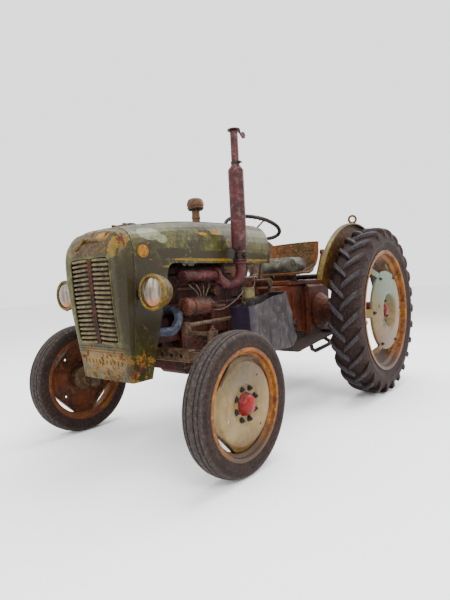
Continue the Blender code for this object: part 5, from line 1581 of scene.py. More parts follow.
# ---- Nose, hood and lamps -------------------------------------------------------------
@dataclass
class Nose(Assembly):
    """Grille slats, centre bar, brow and the pressings on the nose."""

    slats: int = 19
    low: float = 0.64
    high: float = 1.052
    half: float = 0.152
    bar: float = 0.017

    def face(self, height: float) -> float:
        """Gives the y of the grille's front at a height."""
        below = max(0.0, 1.07 - height) / 0.63
        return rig.box("grille")[0].y + 0.001 + 0.067 * below ** 1.9

    def slat(self) -> Shape:
        """Builds one right-hand slat about the origin: a bowed, rounded louvre.

        Returns:
            The slat.
        """
        length = self.half - self.bar
        rows = []
        for k in range(13):
            share = k / 12
            swell = min(1.0, sin(pi * share) * 3.2 + 0.12)
            x = share * length
            bow = -0.0085 * sin(pi * share) ** 0.6
            row = []
            for along, up in (
                    (0.0, 0.0085), (-0.0075, 0.006), (-0.0105, 0.0), (-0.0085, -0.0058),
                    (-0.003, -0.009), (0.0015, -0.007), (0.003, 0.001)):
                row.append((x, bow + along * swell, 0.84 * up * (0.45 + 0.55 * swell)))
            rows.append(row)
        return Shape().loft(rows)

    def build(self) -> None:
        """Builds the nose's pieces."""
        dress("nose_shell", self.shades.nose)
        places = {1.0: [], -1.0: []}
        for k in range(self.slats):
            z = self.low + (self.high - self.low) * k / (self.slats - 1)
            for sign, row in places.items():
                row.append(
                    (Vector((sign * self.bar, self.face(z) + 0.006, z)),
                    Vector((0.0, sign * 0.035, 0.0))))
        slat = self.slat()
        for side, sign in SIDES:
            STAMPER.run(
                f"grille_slats_{side}", slat.on_side(sign), places[sign], self.shades.slats,
                "tractor", "grille", seed=5, sharp=50)
        self.frame()
        self.brow()
        self.pressings()

    def frame(self) -> None:
        """Builds the rolled edge, the centre bar and the dark core behind the slats."""
        edge = []
        for sx, sz, start in ((1, 1, 0), (-1, 1, 90), (-1, -1, 180), (1, -1, 270)):
            z_mid = (1.066 if sz > 0 else 0.628) - sz * 0.035
            for angle in arc(start, start + 90, 7):
                x, z = sx * 0.131 + 0.033 * cos(angle), z_mid + 0.033 * sin(angle)
                edge.append((x, self.face(z) - 0.0005, z))
        loop = []
        for first, second in zip(edge, [*edge[1:], edge[0]]):
            steps = max(1, round((Vector(second) - Vector(first)).length / 0.03))
            for k in range(steps):
                x, _, z = Vector(first).lerp(Vector(second), k / steps)
                loop.append((x, self.face(z) - 0.0005, z))
        rail = Shape().tube(loop, 0.0052, 10, closed=True)
        part("grille_edge", rail, self.shades.nose)
        bar = Shape()
        for x in (-0.0105, 0.0105):
            line = [
                (x, self.face(z) + 0.001, z) for z in [self.low - 0.014 + k * 0.0402
                for k in range(12)]]
            bar.tube(line, 0.0048, 8)
        line = [
            (0.0, self.face(z) + 0.006, z) for z in [self.low - 0.014 + k * 0.0402
            for k in range(12)]]
        bar.tube(line, 0.0085, 8)
        part("grille_bar", bar, self.shades.iron)
        rows = []
        for z in [0.628 + 0.04 * k for k in range(12)]:
            rows.append(
                [(x, self.face(min(z, 1.066)) + 0.026, min(z, 1.066)) for x in (-0.163, 0.163)])
        back = [[(x, y + 0.002, z) for x, y, z in row] for row in rows][::-1]
        core = Shape().grid([*rows, *back], ring=True)
        count = 2 * len(rows)
        core.faces += [[2 * k for k in reversed(range(count))], [2 * k + 1 for k in range(count)]]
        part("grille_core", core, self.shades.dark)

    def patch(self, skin: Skin, across: Sequence[float], up: Sequence[float],
            lift: object) -> Shape:
        """Builds a thin closed plate that lies on the nose.

        Args:
            skin: The nose's surface.
            across: The x of its columns.
            up: The z of its rows.
            lift: A function of column and row shares that gives its height.

        Returns:
            The plate.
        """
        top, foot = [], []
        for i, z in enumerate(up):
            face, back = [], []
            for j, x in enumerate(across):
                place, normal = skin.front(x, z)
                share = (j / (len(across) - 1), i / (len(up) - 1))
                face.append(place + normal * lift(*share))
                back.append(place - normal * 0.001)
            top.append(face)
            foot.append(back)
        return Shape().grid([*top, *foot[::-1]], ring=True).plus(
            *[Shape().grid([[row[e] for row in top], [row[e] for row in foot]]) for e in (0, -1)])

    def brow(self) -> None:
        """Builds the torn brow over the grille, with its crest."""
        skin = Skin("nose_shell")
        columns = [-0.15 + 0.3 * k / 36 for k in range(37)]
        rows = [1.074 + 0.066 * k / 14 for k in range(15)]

        def lift(u: float, v: float) -> float:
            """Gives the crumpled plate's height: wrinkles that die at its edge.

            Args:
                u: Share of its width.
                v: Share of its height.

            Returns:
                The height, in metres.
            """
            edge = min(1.0, 8 * u, 8 * (1 - u), 5 * v, 5 * (1 - v))
            wrinkle = sin(9 * u + 5 * v) + 0.7 * sin(23 * u - 11 * v)
            return 0.0012 + edge * (0.005 + 0.0026 * wrinkle)

        part("brow_plate", self.patch(skin, columns, rows, lift), self.shades.brow)
        crest = []
        for x, z, out in (
                (-0.112, 1.098, 0.006), (-0.085, 1.118, 0.009), (-0.055, 1.14, 0.011),
                (-0.028, 1.156, 0.012), (0.004, 1.152, 0.011), (0.045, 1.146, 0.008),
                (0.09, 1.14, 0.006), (0.128, 1.128, 0.004), (0.15, 1.105, 0.003)):
            place, normal = skin.front(x, z)
            crest.append(place + normal * (out - 0.004))
        line = smooth_path(crest, 5)
        radii = [0.0032 + 0.0045 * sin(pi * k / (len(line) - 1)) for k in range(len(line))]
        part("brow_crest", Shape().tube(line, radii, 9), self.shades.lamp)

    def pressings(self) -> None:
        """Builds the beads under the grille and the row of small louvres below them."""
        skin = Skin("nose_shell")
        beads = Shape()
        for z, radius in ((0.612, 0.0042), (0.598, 0.0042), (0.584, 0.0036)):
            line = []
            for k in range(31):
                x = -0.186 + 0.372 * k / 30
                place, normal = skin.front(x, z)
                line.append(place + normal * 0.0008)
            beads.tube(line, radius, 8)
        part("nose_beads", beads, self.shades.nose)
        boss = Shape().turn(
            [(0.0045, 0.0), (0.0045, 0.0016), (0.003, 0.0032), (0, 0.0036), (0, 0.0)], Axis.Z,
            ORIGIN, 10)
        boss = boss.moved(Matrix.Diagonal((0.8, 3.0, 1.0, 1.0)))
        places = []
        for k in range(11):
            place, normal = skin.front(-0.15 + 0.03 * k, 0.535)
            places.append((place, facing(normal)))
        STAMPER.run("nose_louvres", boss, places, self.shades.lamp, uneven=0.2, seed=7)


@dataclass
class Hood(Assembly):
    """Paint, seams, plates and catches of the hood."""

    def build(self) -> None:
        """Dresses the hood and adds what sits on it."""
        for node in ("hood_lid", "hood_side_left", "hood_side_right", "dash_and_tank"):
            dress(node, self.shades.hood)
        left = Skin("hood_side_left")
        oval = [(-1.327 + 0.036 * cos(t), 1.081 + 0.031 * sin(t)) for t in arc(0, 351, 40)]
        plate = Shape().slab(oval, Axis.X, left.flank(1.0, -1.327, 1.081)[0].x, 0.248, 0.0008)
        part("hood_blank_plate", plate, self.shades.plate)
        rivets = []
        for y in (-1.36, -1.08, -0.8, -0.52, -0.24):
            for side, sign in SIDES:
                skin = Skin(f"hood_side_{side}")
                rivets.append(skin.flank(sign, y, 1.035))
        for z in (0.5, 0.66, 0.82, 0.98):
            for side, sign in SIDES:
                skin = Skin(f"hood_side_{side}")
                rivets.append(skin.flank(sign, -1.378, z))
        fixings("hood_screws", Fixing.RIVET, rivets, self.shades.dark, 1.2)
        self.seams()
        lid = Skin("hood_lid")
        knob, _ = lid.top(0.0, -1.19)
        cap = Shape().turn(
            [(0, 0.0), (0.03, 0.0), (0.032, 0.004), (0.028, 0.011), (0.02, 0.013), (0, 0.014)],
            Axis.Z, knob - Vector((0, 0, 0.002)), 26)
        part("hood_front_cap", cap, self.shades.dark, "hood_lid")
        catch, _ = lid.top(0.0, -0.3)
        turn = Shape().turn(
            [(0, -0.002), (0.011, -0.002), (0.011, 0.004), (0.007, 0.008), (0.007, 0.014),
            (0.013, 0.017), (0.013, 0.022), (0, 0.024)], Axis.Z, catch, 20)
        turn.box(catch + Vector((-0.016, -0.003, 0.014)), catch + Vector((0.016, 0.003, 0.022)))
        part("hood_catch", turn, self.shades.dark, "hood_lid")

    def seams(self) -> None:
        """Lays the black sealing strips on the seams of nose, sides and dash."""
        strip = Shape()
        for side, sign in SIDES:
            skin = Skin(f"hood_side_{side}")
            for y, low in ((-1.388, 0.46), (-0.208, 1.03)):
                line = [skin.flank(sign, y, low + (1.03 - low) * k / 10)[0] for k in range(11)]
                for angle in arc(7, 77, 11):
                    start = Vector((sign * ASIDE * cos(angle), y, 1.03 + ASIDE * sin(angle)))
                    place, _ = skin.hit(start, Vector((0, y, 1.03)) - start)
                    if (place - start).length > 0.05:
                        line.append(place)
                strip.tube(line, 0.0028, 6)
            rail = [skin.top(sign * 0.139, -1.235 + 1.02 * k / 29)[0] for k in range(30)]
            strip.tube(rail, 0.003, 6)
        part("hood_seals", strip, self.shades.grip)


@dataclass
class Lamps(Assembly):
    """The two head lamps: bowl, rolled rim, fluted glass, arm and bolts."""

    bowl: Profile = (
        (0.0, 0.0985), (0.02, 0.097), (0.038, 0.0905), (0.055, 0.076), (0.068, 0.059),
        (0.077, 0.038), (0.0815, 0.016), (0.082, 0.004), (0.076, 0.002), (0.0, 0.002))
    rim: Profile = (
        (0.07, -0.013), (0.0745, -0.018), (0.08, -0.018), (0.085, -0.013), (0.0858, -0.005),
        (0.0845, 0.005), (0.082, 0.007), (0.078, 0.004), (0.073, -0.005))

    def build(self) -> None:
        """Builds both lamps."""
        for side, sign in SIDES:
            low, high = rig.box(f"headlight_{side}")
            centre = Vector((sign * 0.36, low.y + 0.024, (low.z + high.z) / 2))
            body = Shape().turn(self.bowl, Axis.Y, centre, 56)
            root = Vector((sign * 0.2435, centre.y + 0.035, centre.z - 0.01))
            arm = smooth_path(
                [root, root.lerp(centre, 0.3) + Vector((0, 0.01, -0.012)),
                (sign * 0.33, centre.y + 0.045, centre.z - 0.012)], 5)
            body.tube(arm, 0.0115, 12)
            body.turn(
                [(0, 0), (0.026, 0), (0.028, 0.003 * sign), (0.02, 0.01 * sign), (0, 0.01 * sign)],
                Axis.X, root, 20)
            part(f"lamp_bowl_{side}", body, self.shades.lamp, "tractor", f"headlight_{side}")
            ring = Shape().turn(self.rim, Axis.Y, centre, 64)
            screw = centre + Vector((0, -0.006, -0.0855))
            ring.box(screw - Vector((0.006, 0.006, 0.003)), screw + Vector((0.006, 0.008, 0.0)))
            part(f"lamp_rim_{side}", ring, self.shades.lamp_rim)
            dome = [(0.0, -0.023)]
            dome += [(0.0735 * sin(t), -0.002 - 0.021 * cos(t)) for t in arc(8, 84, 12)]
            dome += [(0.0735, 0.0), (0.0, 0.0)]
            part(f"lamp_glass_{side}", Shape().turn(dome, Axis.Y, centre, 64), self.shades.glass)
            skin = Skin(f"hood_side_{side}")
            bolts = [
                skin.flank(sign, root.y + dy, root.z + dz)
                for dy, dz in ((-0.02, 0.022), (0.022, -0.018))]
            bolts = [(p + n * 0.001, n) for p, n in bolts]
            fixings(f"lamp_bolts_{side}", Fixing.BOLT, bolts, self.shades.dark, 0.8)


@dataclass
class ExhaustLine(Assembly):
    """Manifold, elbow, clamp, silencer and tail pipe."""

    foot: Point = (0.31, -0.628, 0.0)
    stack: Profile = (
        (0.0, 1.03), (0.04, 1.03), (0.043, 1.033), (0.043, 1.042), (0.027, 1.044), (0.026, 1.092),
        (0.033, 1.099), (0.045, 1.113), (0.0464, 1.118), (0.0458, 1.122), (0.046, 1.56),
        (0.0466, 1.565), (0.044, 1.572), (0.033, 1.586), (0.025, 1.598), (0.0232, 1.61),
        (0.0228, 1.799), (0.0205, 1.799), (0.0205, 1.62), (0.0, 1.62))
    elbow: Sequence[Point] = (
        (0.2, -0.8, 0.955), (0.205, -0.738, 0.948), (0.222, -0.703, 0.915), (0.245, -0.683, 0.893),
        (0.272, -0.663, 0.893), (0.298, -0.64, 0.92), (0.31, -0.628, 0.965), (0.31, -0.628, 1.028))

    def build(self) -> None:
        """Builds the line."""
        stack = Shape().turn(self.stack, Axis.Z, self.foot, 48)
        seam = [(self.foot[0] + 0.0455, self.foot[1], z) for z in (1.12, 1.34, 1.56)]
        stack.tube(seam, 0.0018, 8)
        part("exhaust_pipe", stack, self.shades.exhaust, "tractor", "exhaust_stack")
        self.collars()
        self.manifold()

    def collars(self) -> None:
        """Adds the clamps that hold the pipes together."""
        x, y, _ = self.foot
        shape = Shape()
        for low, high, radius in ((1.046, 1.084, 0.0315), (1.602, 1.62, 0.0268)):
            wall = [
                (radius - 0.006, low), (radius, low + 0.002), (radius, high - 0.002),
                (radius - 0.006, high)]
            shape.turn(wall, Axis.Z, self.foot, 40)
            ear = radius + 0.014
            for shift in (-0.009, 0.003):
                shape.box(
                    (x + radius - 0.004, y + shift, low + 0.004), (x + ear, y + shift + 0.006,
                    high - 0.004), 0.0015)
            middle_z = (low + high) / 2
            shape.tube(
                [(x + radius + 0.006, y - 0.02, middle_z), (x + radius + 0.006, y + 0.022,
                middle_z)], 0.0034, 10)
            shape.turn(
                [(0, y - 0.02), (0.0065, y - 0.02), (0.0065, y - 0.014), (0, y - 0.014)], Axis.Y,
                (x + radius + 0.006, 0, middle_z), 6)
        part("exhaust_clamps", shape, self.shades.dark)

    def manifold(self) -> None:
        """Builds the manifold with its ports, flanges and elbow."""
        shape = Shape()
        trunk = [
            (0.2, -1.016, 0.955), (0.2, -1.008, 0.955), (0.2, -0.9, 0.957), (0.2, -0.77, 0.955)]
        shape.tube(smooth_path(trunk, 4), 0.033, 24)
        shape.tube(smooth_path(self.elbow, 5), 0.03, 24)
        for y in (-0.98, -0.905, -0.83):
            shape.tube(
                smooth_path([(0.2, y, 0.95), (0.172, y, 0.945), (0.146, y, 0.93)], 4), [0.026] * 4
                + [0.023] * 5, 18)
            shape.box((0.146, y - 0.03, 0.905), (0.157, y + 0.03, 0.957), 0.003)
        shape.turn(
            [(0, 0), (0.044, 0), (0.045, 0.002), (0.045, 0.009), (0.044, 0.011), (0, 0.011)],
            Axis.Z, (0.31, -0.628, 1.016), 32)
        for y in (-0.748, -0.735):
            shape.turn(
                [(0.02, y), (0.044, y), (0.046, y + 0.002), (0.046, y + 0.007), (0.044, y + 0.009),
                (0.02, y + 0.009)], Axis.Y, (0.203, 0, 0.951), 32)
        part("exhaust_manifold_cast", shape, self.shades.exhaust, "tractor", "exhaust_manifold")
        studs = [
            ((0.157, y + dy, z), (1, 0, 0)) for y in (-0.98, -0.905, -0.83)
            for dy, z in ((-0.022, 0.912), (0.022, 0.95))]
        studs += [
            ((0.31 + 0.036 * cos(t), -0.628 + 0.036 * sin(t), 1.042), (0, 0, 1))
            for t in (0.6, 2.2, 3.7, 5.3)]
        fixings("manifold_nuts", Fixing.NUT, studs, self.shades.dark, 0.9)


@dataclass
class Breather(Assembly):
    """The air pre-cleaner that stands on the hood."""

    profile: Profile = (
        (0.0, 1.2), (0.0275, 1.2), (0.0275, 1.36), (0.031, 1.364), (0.031, 1.376), (0.028, 1.38),
        (0.028, 1.424), (0.052, 1.429), (0.0575, 1.433), (0.059, 1.44), (0.056, 1.444),
        (0.056, 1.448), (0.0598, 1.452), (0.06, 1.47), (0.056, 1.48), (0.05, 1.495), (0.034, 1.504),
        (0.012, 1.5075), (0.011, 1.5085), (0.0, 1.5088))

    def build(self) -> None:
        """Builds the pre-cleaner."""
        x, y = -0.195, -0.438
        shape = Shape().turn(self.profile, Axis.Z, (x, y, 0), 40)
        part("breather", shape, self.shades.breather, "tractor", "air_precleaner")
        vane = Shape().box((-0.002, 0.03, -0.006), (0.002, 0.05, 0.0), 0.0)
        places = ring_places((x, y, 1.4275), Axis.Z, 0.0, 16)
        STAMPER.run("breather_vanes", vane, places, self.shades.dark, seed=3)


@dataclass
class SteeringWheel(Assembly):
    """The steering wheel with its resin grip, spokes and hub."""

    hub: Point = (0.0, -0.038, 1.3)
    radius: float = 0.2015
    grip: float = 0.0135
    tilt: float = 20.0

    def build(self) -> None:
        """Builds the wheel."""
        place = Matrix.Translation(self.hub) @ Matrix.Rotation(radians(-self.tilt), 4, "X")
        ring = [(self.radius * cos(t), self.radius * sin(t), 0.0) for t in arc(0, 360, 73)[:-1]]
        grip = Shape().tube(ring, self.grip, 18, closed=True)
        for k in range(36):
            turn = TAU * k / 36
            out = Vector((cos(turn), sin(turn), 0.0))
            grip.take(ball(out * self.radius - Vector((0, 0, self.grip * 0.62)), 0.0085))
        part(
            "steering_grip", grip.moved(place), self.shades.grip, "steering_wheel",
            "steering_wheel")
        metal = Shape()
        for k in range(3):
            turn = pi / 2 + TAU * k / 3
            out = Vector((cos(turn), sin(turn), 0.0))
            spoke = [
                out * 0.02 + Vector((0, 0, -0.028)), out * 0.07 + Vector((0, 0, -0.026)), out * 0.15
                + Vector((0, 0, -0.012)), out * 0.198]
            metal.tube(smooth_path(spoke, 5), 0.0058, 12)
        metal.turn(
            [(0, -0.05), (0.026, -0.05), (0.031, -0.04), (0.031, -0.016), (0.024, -0.008),
            (0.016, -0.006), (0.015, 0.002), (0, 0.003)], Axis.Z, ORIGIN, 32)
        part("steering_spokes", metal.moved(place), self.shades.dark, "steering_wheel")


def ball(centre: Sequence[float], radius: float) -> bmesh.types.BMesh:
    """Builds a small ball.

    Args:
        centre: Its centre.
        radius: Its radius.

    Returns:
        Its mesh.
    """
    work = bmesh.new()
    bmesh.ops.create_icosphere(
        work, subdivisions=2, radius=radius, matrix=Matrix.Translation(centre))
    return work


@dataclass
class Hoses(Assembly):
    """The bottom hose with its clamps, and the engine's thin pipes."""

    bottom: Sequence[Point] = (
        (0.155, -1.2525, 0.672), (0.155, -1.233, 0.672), (0.185, -1.178, 0.665),
        (0.208, -1.123, 0.668), (0.212, -1.088, 0.698), (0.192, -1.053, 0.735),
        (0.145, -1.02, 0.765), (0.1, -1.006, 0.77), (0.051, -1.006, 0.77))

    def build(self) -> None:
        """Builds the hoses."""
        path = smooth_path(self.bottom, 8)
        widths = [0.0242 + 0.0006 * sin(1.7 * k) for k in range(len(path))]
        part(
            "bottom_hose", Shape().tube(path, widths, 24), self.shades.hose, "tractor",
            "lower_hose")
        clamps = Shape()
        for k in (4, len(path) - 10):
            clamps.tube([path[k], path[k].lerp(path[k + 1], 0.8)], 0.0262, 24)
        part("hose_clamps", clamps, self.shades.dark)
        pipes = Shape()
        for k, y in enumerate((-0.955, -0.9, -0.845, -0.79)):
            start = (0.196, -0.905 + 0.024 * k, 0.8)
            pipes.tube(
                smooth_path([start, (0.208, start[1], 0.85), (0.196, y, 0.9), (0.16, y, 0.925),
                (0.15, y, 0.99)], 5), 0.0034, 8)
        pipes.tube(
            smooth_path([(0.196, -0.8, 0.76), (0.215, -0.7, 0.75), (0.215, -0.56, 0.8),
            (0.19, -0.44, 0.852)], 6), 0.0045, 8)
        pipes.tube(
            smooth_path([(0.19, -0.36, 0.852), (0.2, -0.33, 0.9), (0.18, -0.35, 0.99),
            (0.17, -0.45, 1.04)], 6), 0.0045, 8)
        part("fuel_pipes", pipes, self.shades.pipe)


@dataclass
class EngineBay(Assembly):
    """Parts on the engine: pump, side covers, bolts, generator and radiator tanks."""

    wall: float = 0.15

    def build(self) -> None:
        """Builds the parts."""
        self.pump()
        self.castings()
        self.charger()
        self.tanks()

    def pump(self) -> None:
        """Builds the injection pump with its outlets and governor."""
        shape = Shape().box((0.15, -0.925, 0.745), (0.198, -0.8, 0.8), 0.006)
        shape.box((0.15, -0.8, 0.738), (0.205, -0.735, 0.8), 0.01)
        for k in range(4):
            y = -0.905 + 0.024 * k
            shape.turn(
                [(0, 0.796), (0.0095, 0.796), (0.0095, 0.812), (0.006, 0.816), (0.006, 0.826),
                (0, 0.826)], Axis.Z, (0.186, y, 0), 6)
        shape.turn(
            [(0, 0.15), (0.034, 0.15), (0.034, 0.168), (0.028, 0.178), (0, 0.18)], Axis.X,
            (0, -0.7, 0.862), 24)
        shape.turn(
            [(0, 0.46), (0.033, 0.46), (0.036, 0.466), (0.036, 0.585), (0.03, 0.596), (0.012, 0.6),
            (0.012, 0.612), (0, 0.612)], Axis.Z, (0.187, -0.56, 0), 28)
        shape.tube(
            smooth_path([(0.155, -0.6, 0.5), (0.172, -0.598, 0.6), (0.168, -0.604, 0.82),
            (0.176, -0.606, 0.866)], 5), 0.005, 10)
        part("injection_pump", shape, self.shades.parts)

    def castings(self) -> None:
        """Adds side covers, ribs and rows of bolts to the engine block."""
        for side, sign in SIDES:
            wall = self.wall
            shape = Shape()
            for low, high in ((-0.99, -0.8), (-0.78, -0.6)):
                shape.box((wall - 0.002, low, 0.56), (wall + 0.008, high, 0.69), 0.004)
            for y in (-0.995, -0.79, -0.59, -0.455):
                shape.box((wall - 0.002, y - 0.006, 0.445), (wall + 0.01, y + 0.006, 0.74), 0.003)
            shape.box((wall - 0.002, -1.015, 0.436), (wall + 0.012, -0.445, 0.45), 0.003)
            shape.box((wall - 0.002, -1.015, 0.878), (wall + 0.006, -0.445, 0.892), 0.002)
            part(f"engine_covers_{side}", shape.on_side(sign), self.shades.iron)
            places = [
                ((sign * (wall + 0.008), y, z), (sign, 0, 0)) for y in (-0.98, -0.895, -0.81, -0.77,
                -0.69, -0.61) for z in (0.57, 0.68)]
            places += [
                ((sign * (wall + 0.012), -1.0 + 0.06 * k, 0.443), (sign, 0, 0)) for k in range(10)]
            fixings(f"engine_bolts_{side}", Fixing.BOLT, places, self.shades.parts, 0.9)
        low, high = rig.box("engine")
        places = [
            ((sign * 0.075, -0.99 + 0.075 * k, high.z), (0, 0, 1)) for sign in (-1, 1)
            for k in range(8)]
        fixings("head_nuts", Fixing.NUT, places, self.shades.parts, 1.0)

    def charger(self) -> None:
        """Builds the generator with its end caps, band and pulley."""
        low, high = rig.box("generator")
        x = high.x - 0.058
        z = (low.z + high.z) / 2
        radius = min(high.z - z, high.x - x) - 0.004
        profile = [(0, low.y + 0.004), (radius * 0.72, low.y + 0.004)]
        for share, reach in (
                (0.0, 0.86), (0.04, 0.96), (0.16, 0.97), (0.17, 0.9), (0.24, 0.9), (0.25, 1.0),
                (0.36, 1.0), (0.37, 0.95), (0.72, 0.95), (0.73, 0.99), (0.8, 0.99), (0.81, 0.93),
                (0.97, 0.92), (1.0, 0.8)):
            profile.append((radius * reach, low.y + 0.01 + share * (high.y - low.y - 0.016)))
        profile.append((0, high.y - 0.006))
        shape = Shape().turn(profile, Axis.Y, (x, 0, z), 36)
        shape.box((0.152, low.y + 0.05, low.z + 0.01), (x, low.y + 0.075, low.z + 0.028), 0.003)
        shape.box((0.152, high.y - 0.06, low.z + 0.01), (x, high.y - 0.035, low.z + 0.028), 0.003)
        part("generator_body", shape, self.shades.parts, "tractor", "generator")
        slot = Shape().box((-0.004, -0.01, radius * 0.99), (0.004, 0.01, radius * 0.995), 0.0)
        places = ring_places((x, high.y - 0.03, z), Axis.Y, 0.0, 14)
        STAMPER.run("generator_vents", slot, places, self.shades.dark)

    def tanks(self) -> None:
        """Adds the tanks and side strips to the radiator."""
        low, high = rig.box("radiator")
        shape = Shape()
        for z in (low.z, high.z - 0.075):
            shape.box(
                (low.x + 0.01, high.y - 0.002, z), (high.x - 0.01, high.y + 0.01, z + 0.07), 0.004)
        for x in (low.x, high.x - 0.014):
            shape.box((x, high.y - 0.002, low.z), (x + 0.014, high.y + 0.006, high.z), 0.002)
        part("radiator_tanks", shape, self.shades.iron)


@dataclass
class Cushion(Assembly):
    """The stuffed seat cushion, blown up as cloth from a plain block."""

    low: Point = (-0.158, 0.274, 0.952)
    high: Point = (0.158, 0.49, 1.07)
    cell: float = 0.006
    most: float = 0.013
    last_frame: int = 20

    def blown(self, mesh: Mesh) -> Mesh:
        """Blows the box up as cloth.

        Args:
            mesh: The box.

        Returns:
            The same mesh, its points moved.
        """
        block = shown("cushion_block", mesh)
        cloth = block.modifiers.new("cloth", "CLOTH")
        cloth.settings.use_pressure = True
        cloth.settings.uniform_pressure_force = 4.0
        cloth.settings.effector_weights.gravity = 0.0
        cloth.settings.tension_stiffness = 20.0
        cloth.point_cache.frame_start = 1
        cloth.point_cache.frame_end = self.last_frame
        start = [v.co.copy() for v in mesh.vertices]
        for frame_number in range(1, self.last_frame + 1):
            bpy.context.scene.frame_set(frame_number)
        graph = bpy.context.evaluated_depsgraph_get()
        swollen = block.evaluated_get(graph).to_mesh()
        ends = [v.co.copy() for v in swollen.vertices]
        block.evaluated_get(graph).to_mesh_clear()
        bpy.data.objects.remove(block)
        bpy.context.scene.frame_set(1)
        for vertex, old, new in zip(mesh.vertices, start, ends):
            shift = new - old
            if shift.length > self.most:
                shift *= self.most / shift.length
            vertex.co = old + shift
            vertex.co.z = max(vertex.co.z, self.low[2] - 0.003)
        return mesh

    def build(self) -> None:
        """Builds the cushion."""
        box = Shape().box(self.low, self.high, 0.02).mesh("cushion_box")
        block = shown("cushion_box", box)
        remesh = block.modifiers.new("remesh", "REMESH")
        remesh.mode = "VOXEL"
        remesh.voxel_size = self.cell
        mesh = settled(block)
        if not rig.quick():
            mesh = self.blown(mesh)
        for polygon in mesh.polygons:
            polygon.use_smooth = True
        mesh.name = "cushion"
        cushion = part("cushion", mesh, self.shades.hide, "tractor", "seat_cushion")
        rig.padded(cushion, fill=0.85)


@dataclass
class Fenders(Assembly):
    """The rear fenders' bands, beads and bolts, and the ring on the left one."""

    centre: Point = (0.0, 0.672, 0.635)
    radius: float = 0.69
    start: float = 22.0
    end: float = 158.0

    def sweep(self, radius: float, x: float) -> list[Vector]:
        """Gives points round the fender at a radius and at an x.

        Args:
            radius: Their distance from the fender's centre.
            x: Their x.

        Returns:
            The points.
        """
        return [
            Vector((x, self.centre[1] + radius * cos(t), self.centre[2] + radius * sin(t)))
            for t in arc(self.start, self.end, 60)]

    def build(self) -> None:
        """Builds the trim of both fenders."""
        for side, sign in SIDES:
            lines = [
                (self.radius + 0.0006, 0.4692), (self.radius + 0.0016, 0.476),
                (self.radius + 0.0006, 0.484), (self.radius + 0.001, 0.496),
                (self.radius - 0.001, 0.501), (self.radius - 0.01, 0.501)]
            rows = [self.sweep(radius, x) for radius, x in lines]
            band = Shape().grid(
                [[rows[k][i] for k in range(len(rows))] for i in range(len(rows[0]))])
            band.tube(self.sweep(self.radius - 0.008, 0.4985), 0.005, 12)
            part(f"fender_band_{side}", band.on_side(sign), self.shades.lip)
            bolts = [
                ((sign * 0.4685, self.centre[1] + 0.6 * cos(t), self.centre[2] + 0.6 * sin(t)),
                (-sign, 0, 0)) for t in arc(40, 140, 6)]
            fixings(f"fender_bolts_{side}", Fixing.BOLT, bolts, self.shades.dark, 0.9)
        top = Vector((0.482, self.centre[1] - 0.02, self.centre[2] + self.radius + 0.03))
        turn = Matrix.Translation(top) @ Matrix.Rotation(radians(38), 4, "Z")
        ring = [(0.028 * cos(t), 0.0, 0.028 * sin(t)) for t in arc(0, 360, 33)[:-1]]
        loop = Shape().tube(ring, 0.0086, 14, closed=True)
        loop.turn(
            [(0, -0.034), (0.014, -0.034), (0.014, -0.028), (0.008, -0.022), (0, -0.02)], Axis.Z,
            ORIGIN, 16)
        part("fender_ring", loop.moved(turn), self.shades.breather)


@dataclass
class Tub(Assembly):
    """The battered tub beside the clutch housing, its sheet folded and dented."""

    cell: float = 0.014

    def fold(self, place: Vector) -> Vector:
        """Gives the shift of the sheet at a place.

        Args:
            place: The place.

        Returns:
            The shift.
        """
        wave = sin((place.y + 0.18 * place.z) * 62.0) + 0.5 * sin(place.y * 31.0 + 1.3)
        ridge = abs(sin((place.y - 0.35 * place.z) * 24.0 + 0.6))
        dent = noise.noise(place * 9.0) + 0.5 * noise.noise(place * 21.0)
        lift = 0.0034 * wave - 0.006 * ridge + 0.006 * dent
        front = 0.006 * noise.noise(place * 12.0 + Vector((4, 0, 0)))
        top = min(1.0, max(0.0, (place.z - 0.7) / 0.12))
        sag = -0.01 * top * abs(sin(place.y * 13.0 + 0.5))
        return Vector((lift - 0.004, front, sag))

    def build(self) -> None:
        """Builds the tub."""
        node = bpy.data.objects["side_tub"]
        work = bmesh.new()
        work.from_mesh(node.data)
        work.transform(node.matrix_world)
        bmesh.ops.triangulate(work, faces=work.faces[:])
        for _ in range(5):
            long_edges = [e for e in work.edges if e.calc_length() > 2 * self.cell]
            if not long_edges:
                break
            bmesh.ops.subdivide_edges(work, edges=long_edges, cuts=1, use_grid_fill=False)
            bmesh.ops.triangulate(work, faces=work.faces[:])
        for vertex in work.verts:
            if vertex.co.x > 0.32:
                vertex.co += self.fold(vertex.co)
        mesh = bpy.data.meshes.new("tub")
        work.to_mesh(mesh)
        work.free()
        part("tub", mesh, self.shades.tub, "tractor", "side_tub")


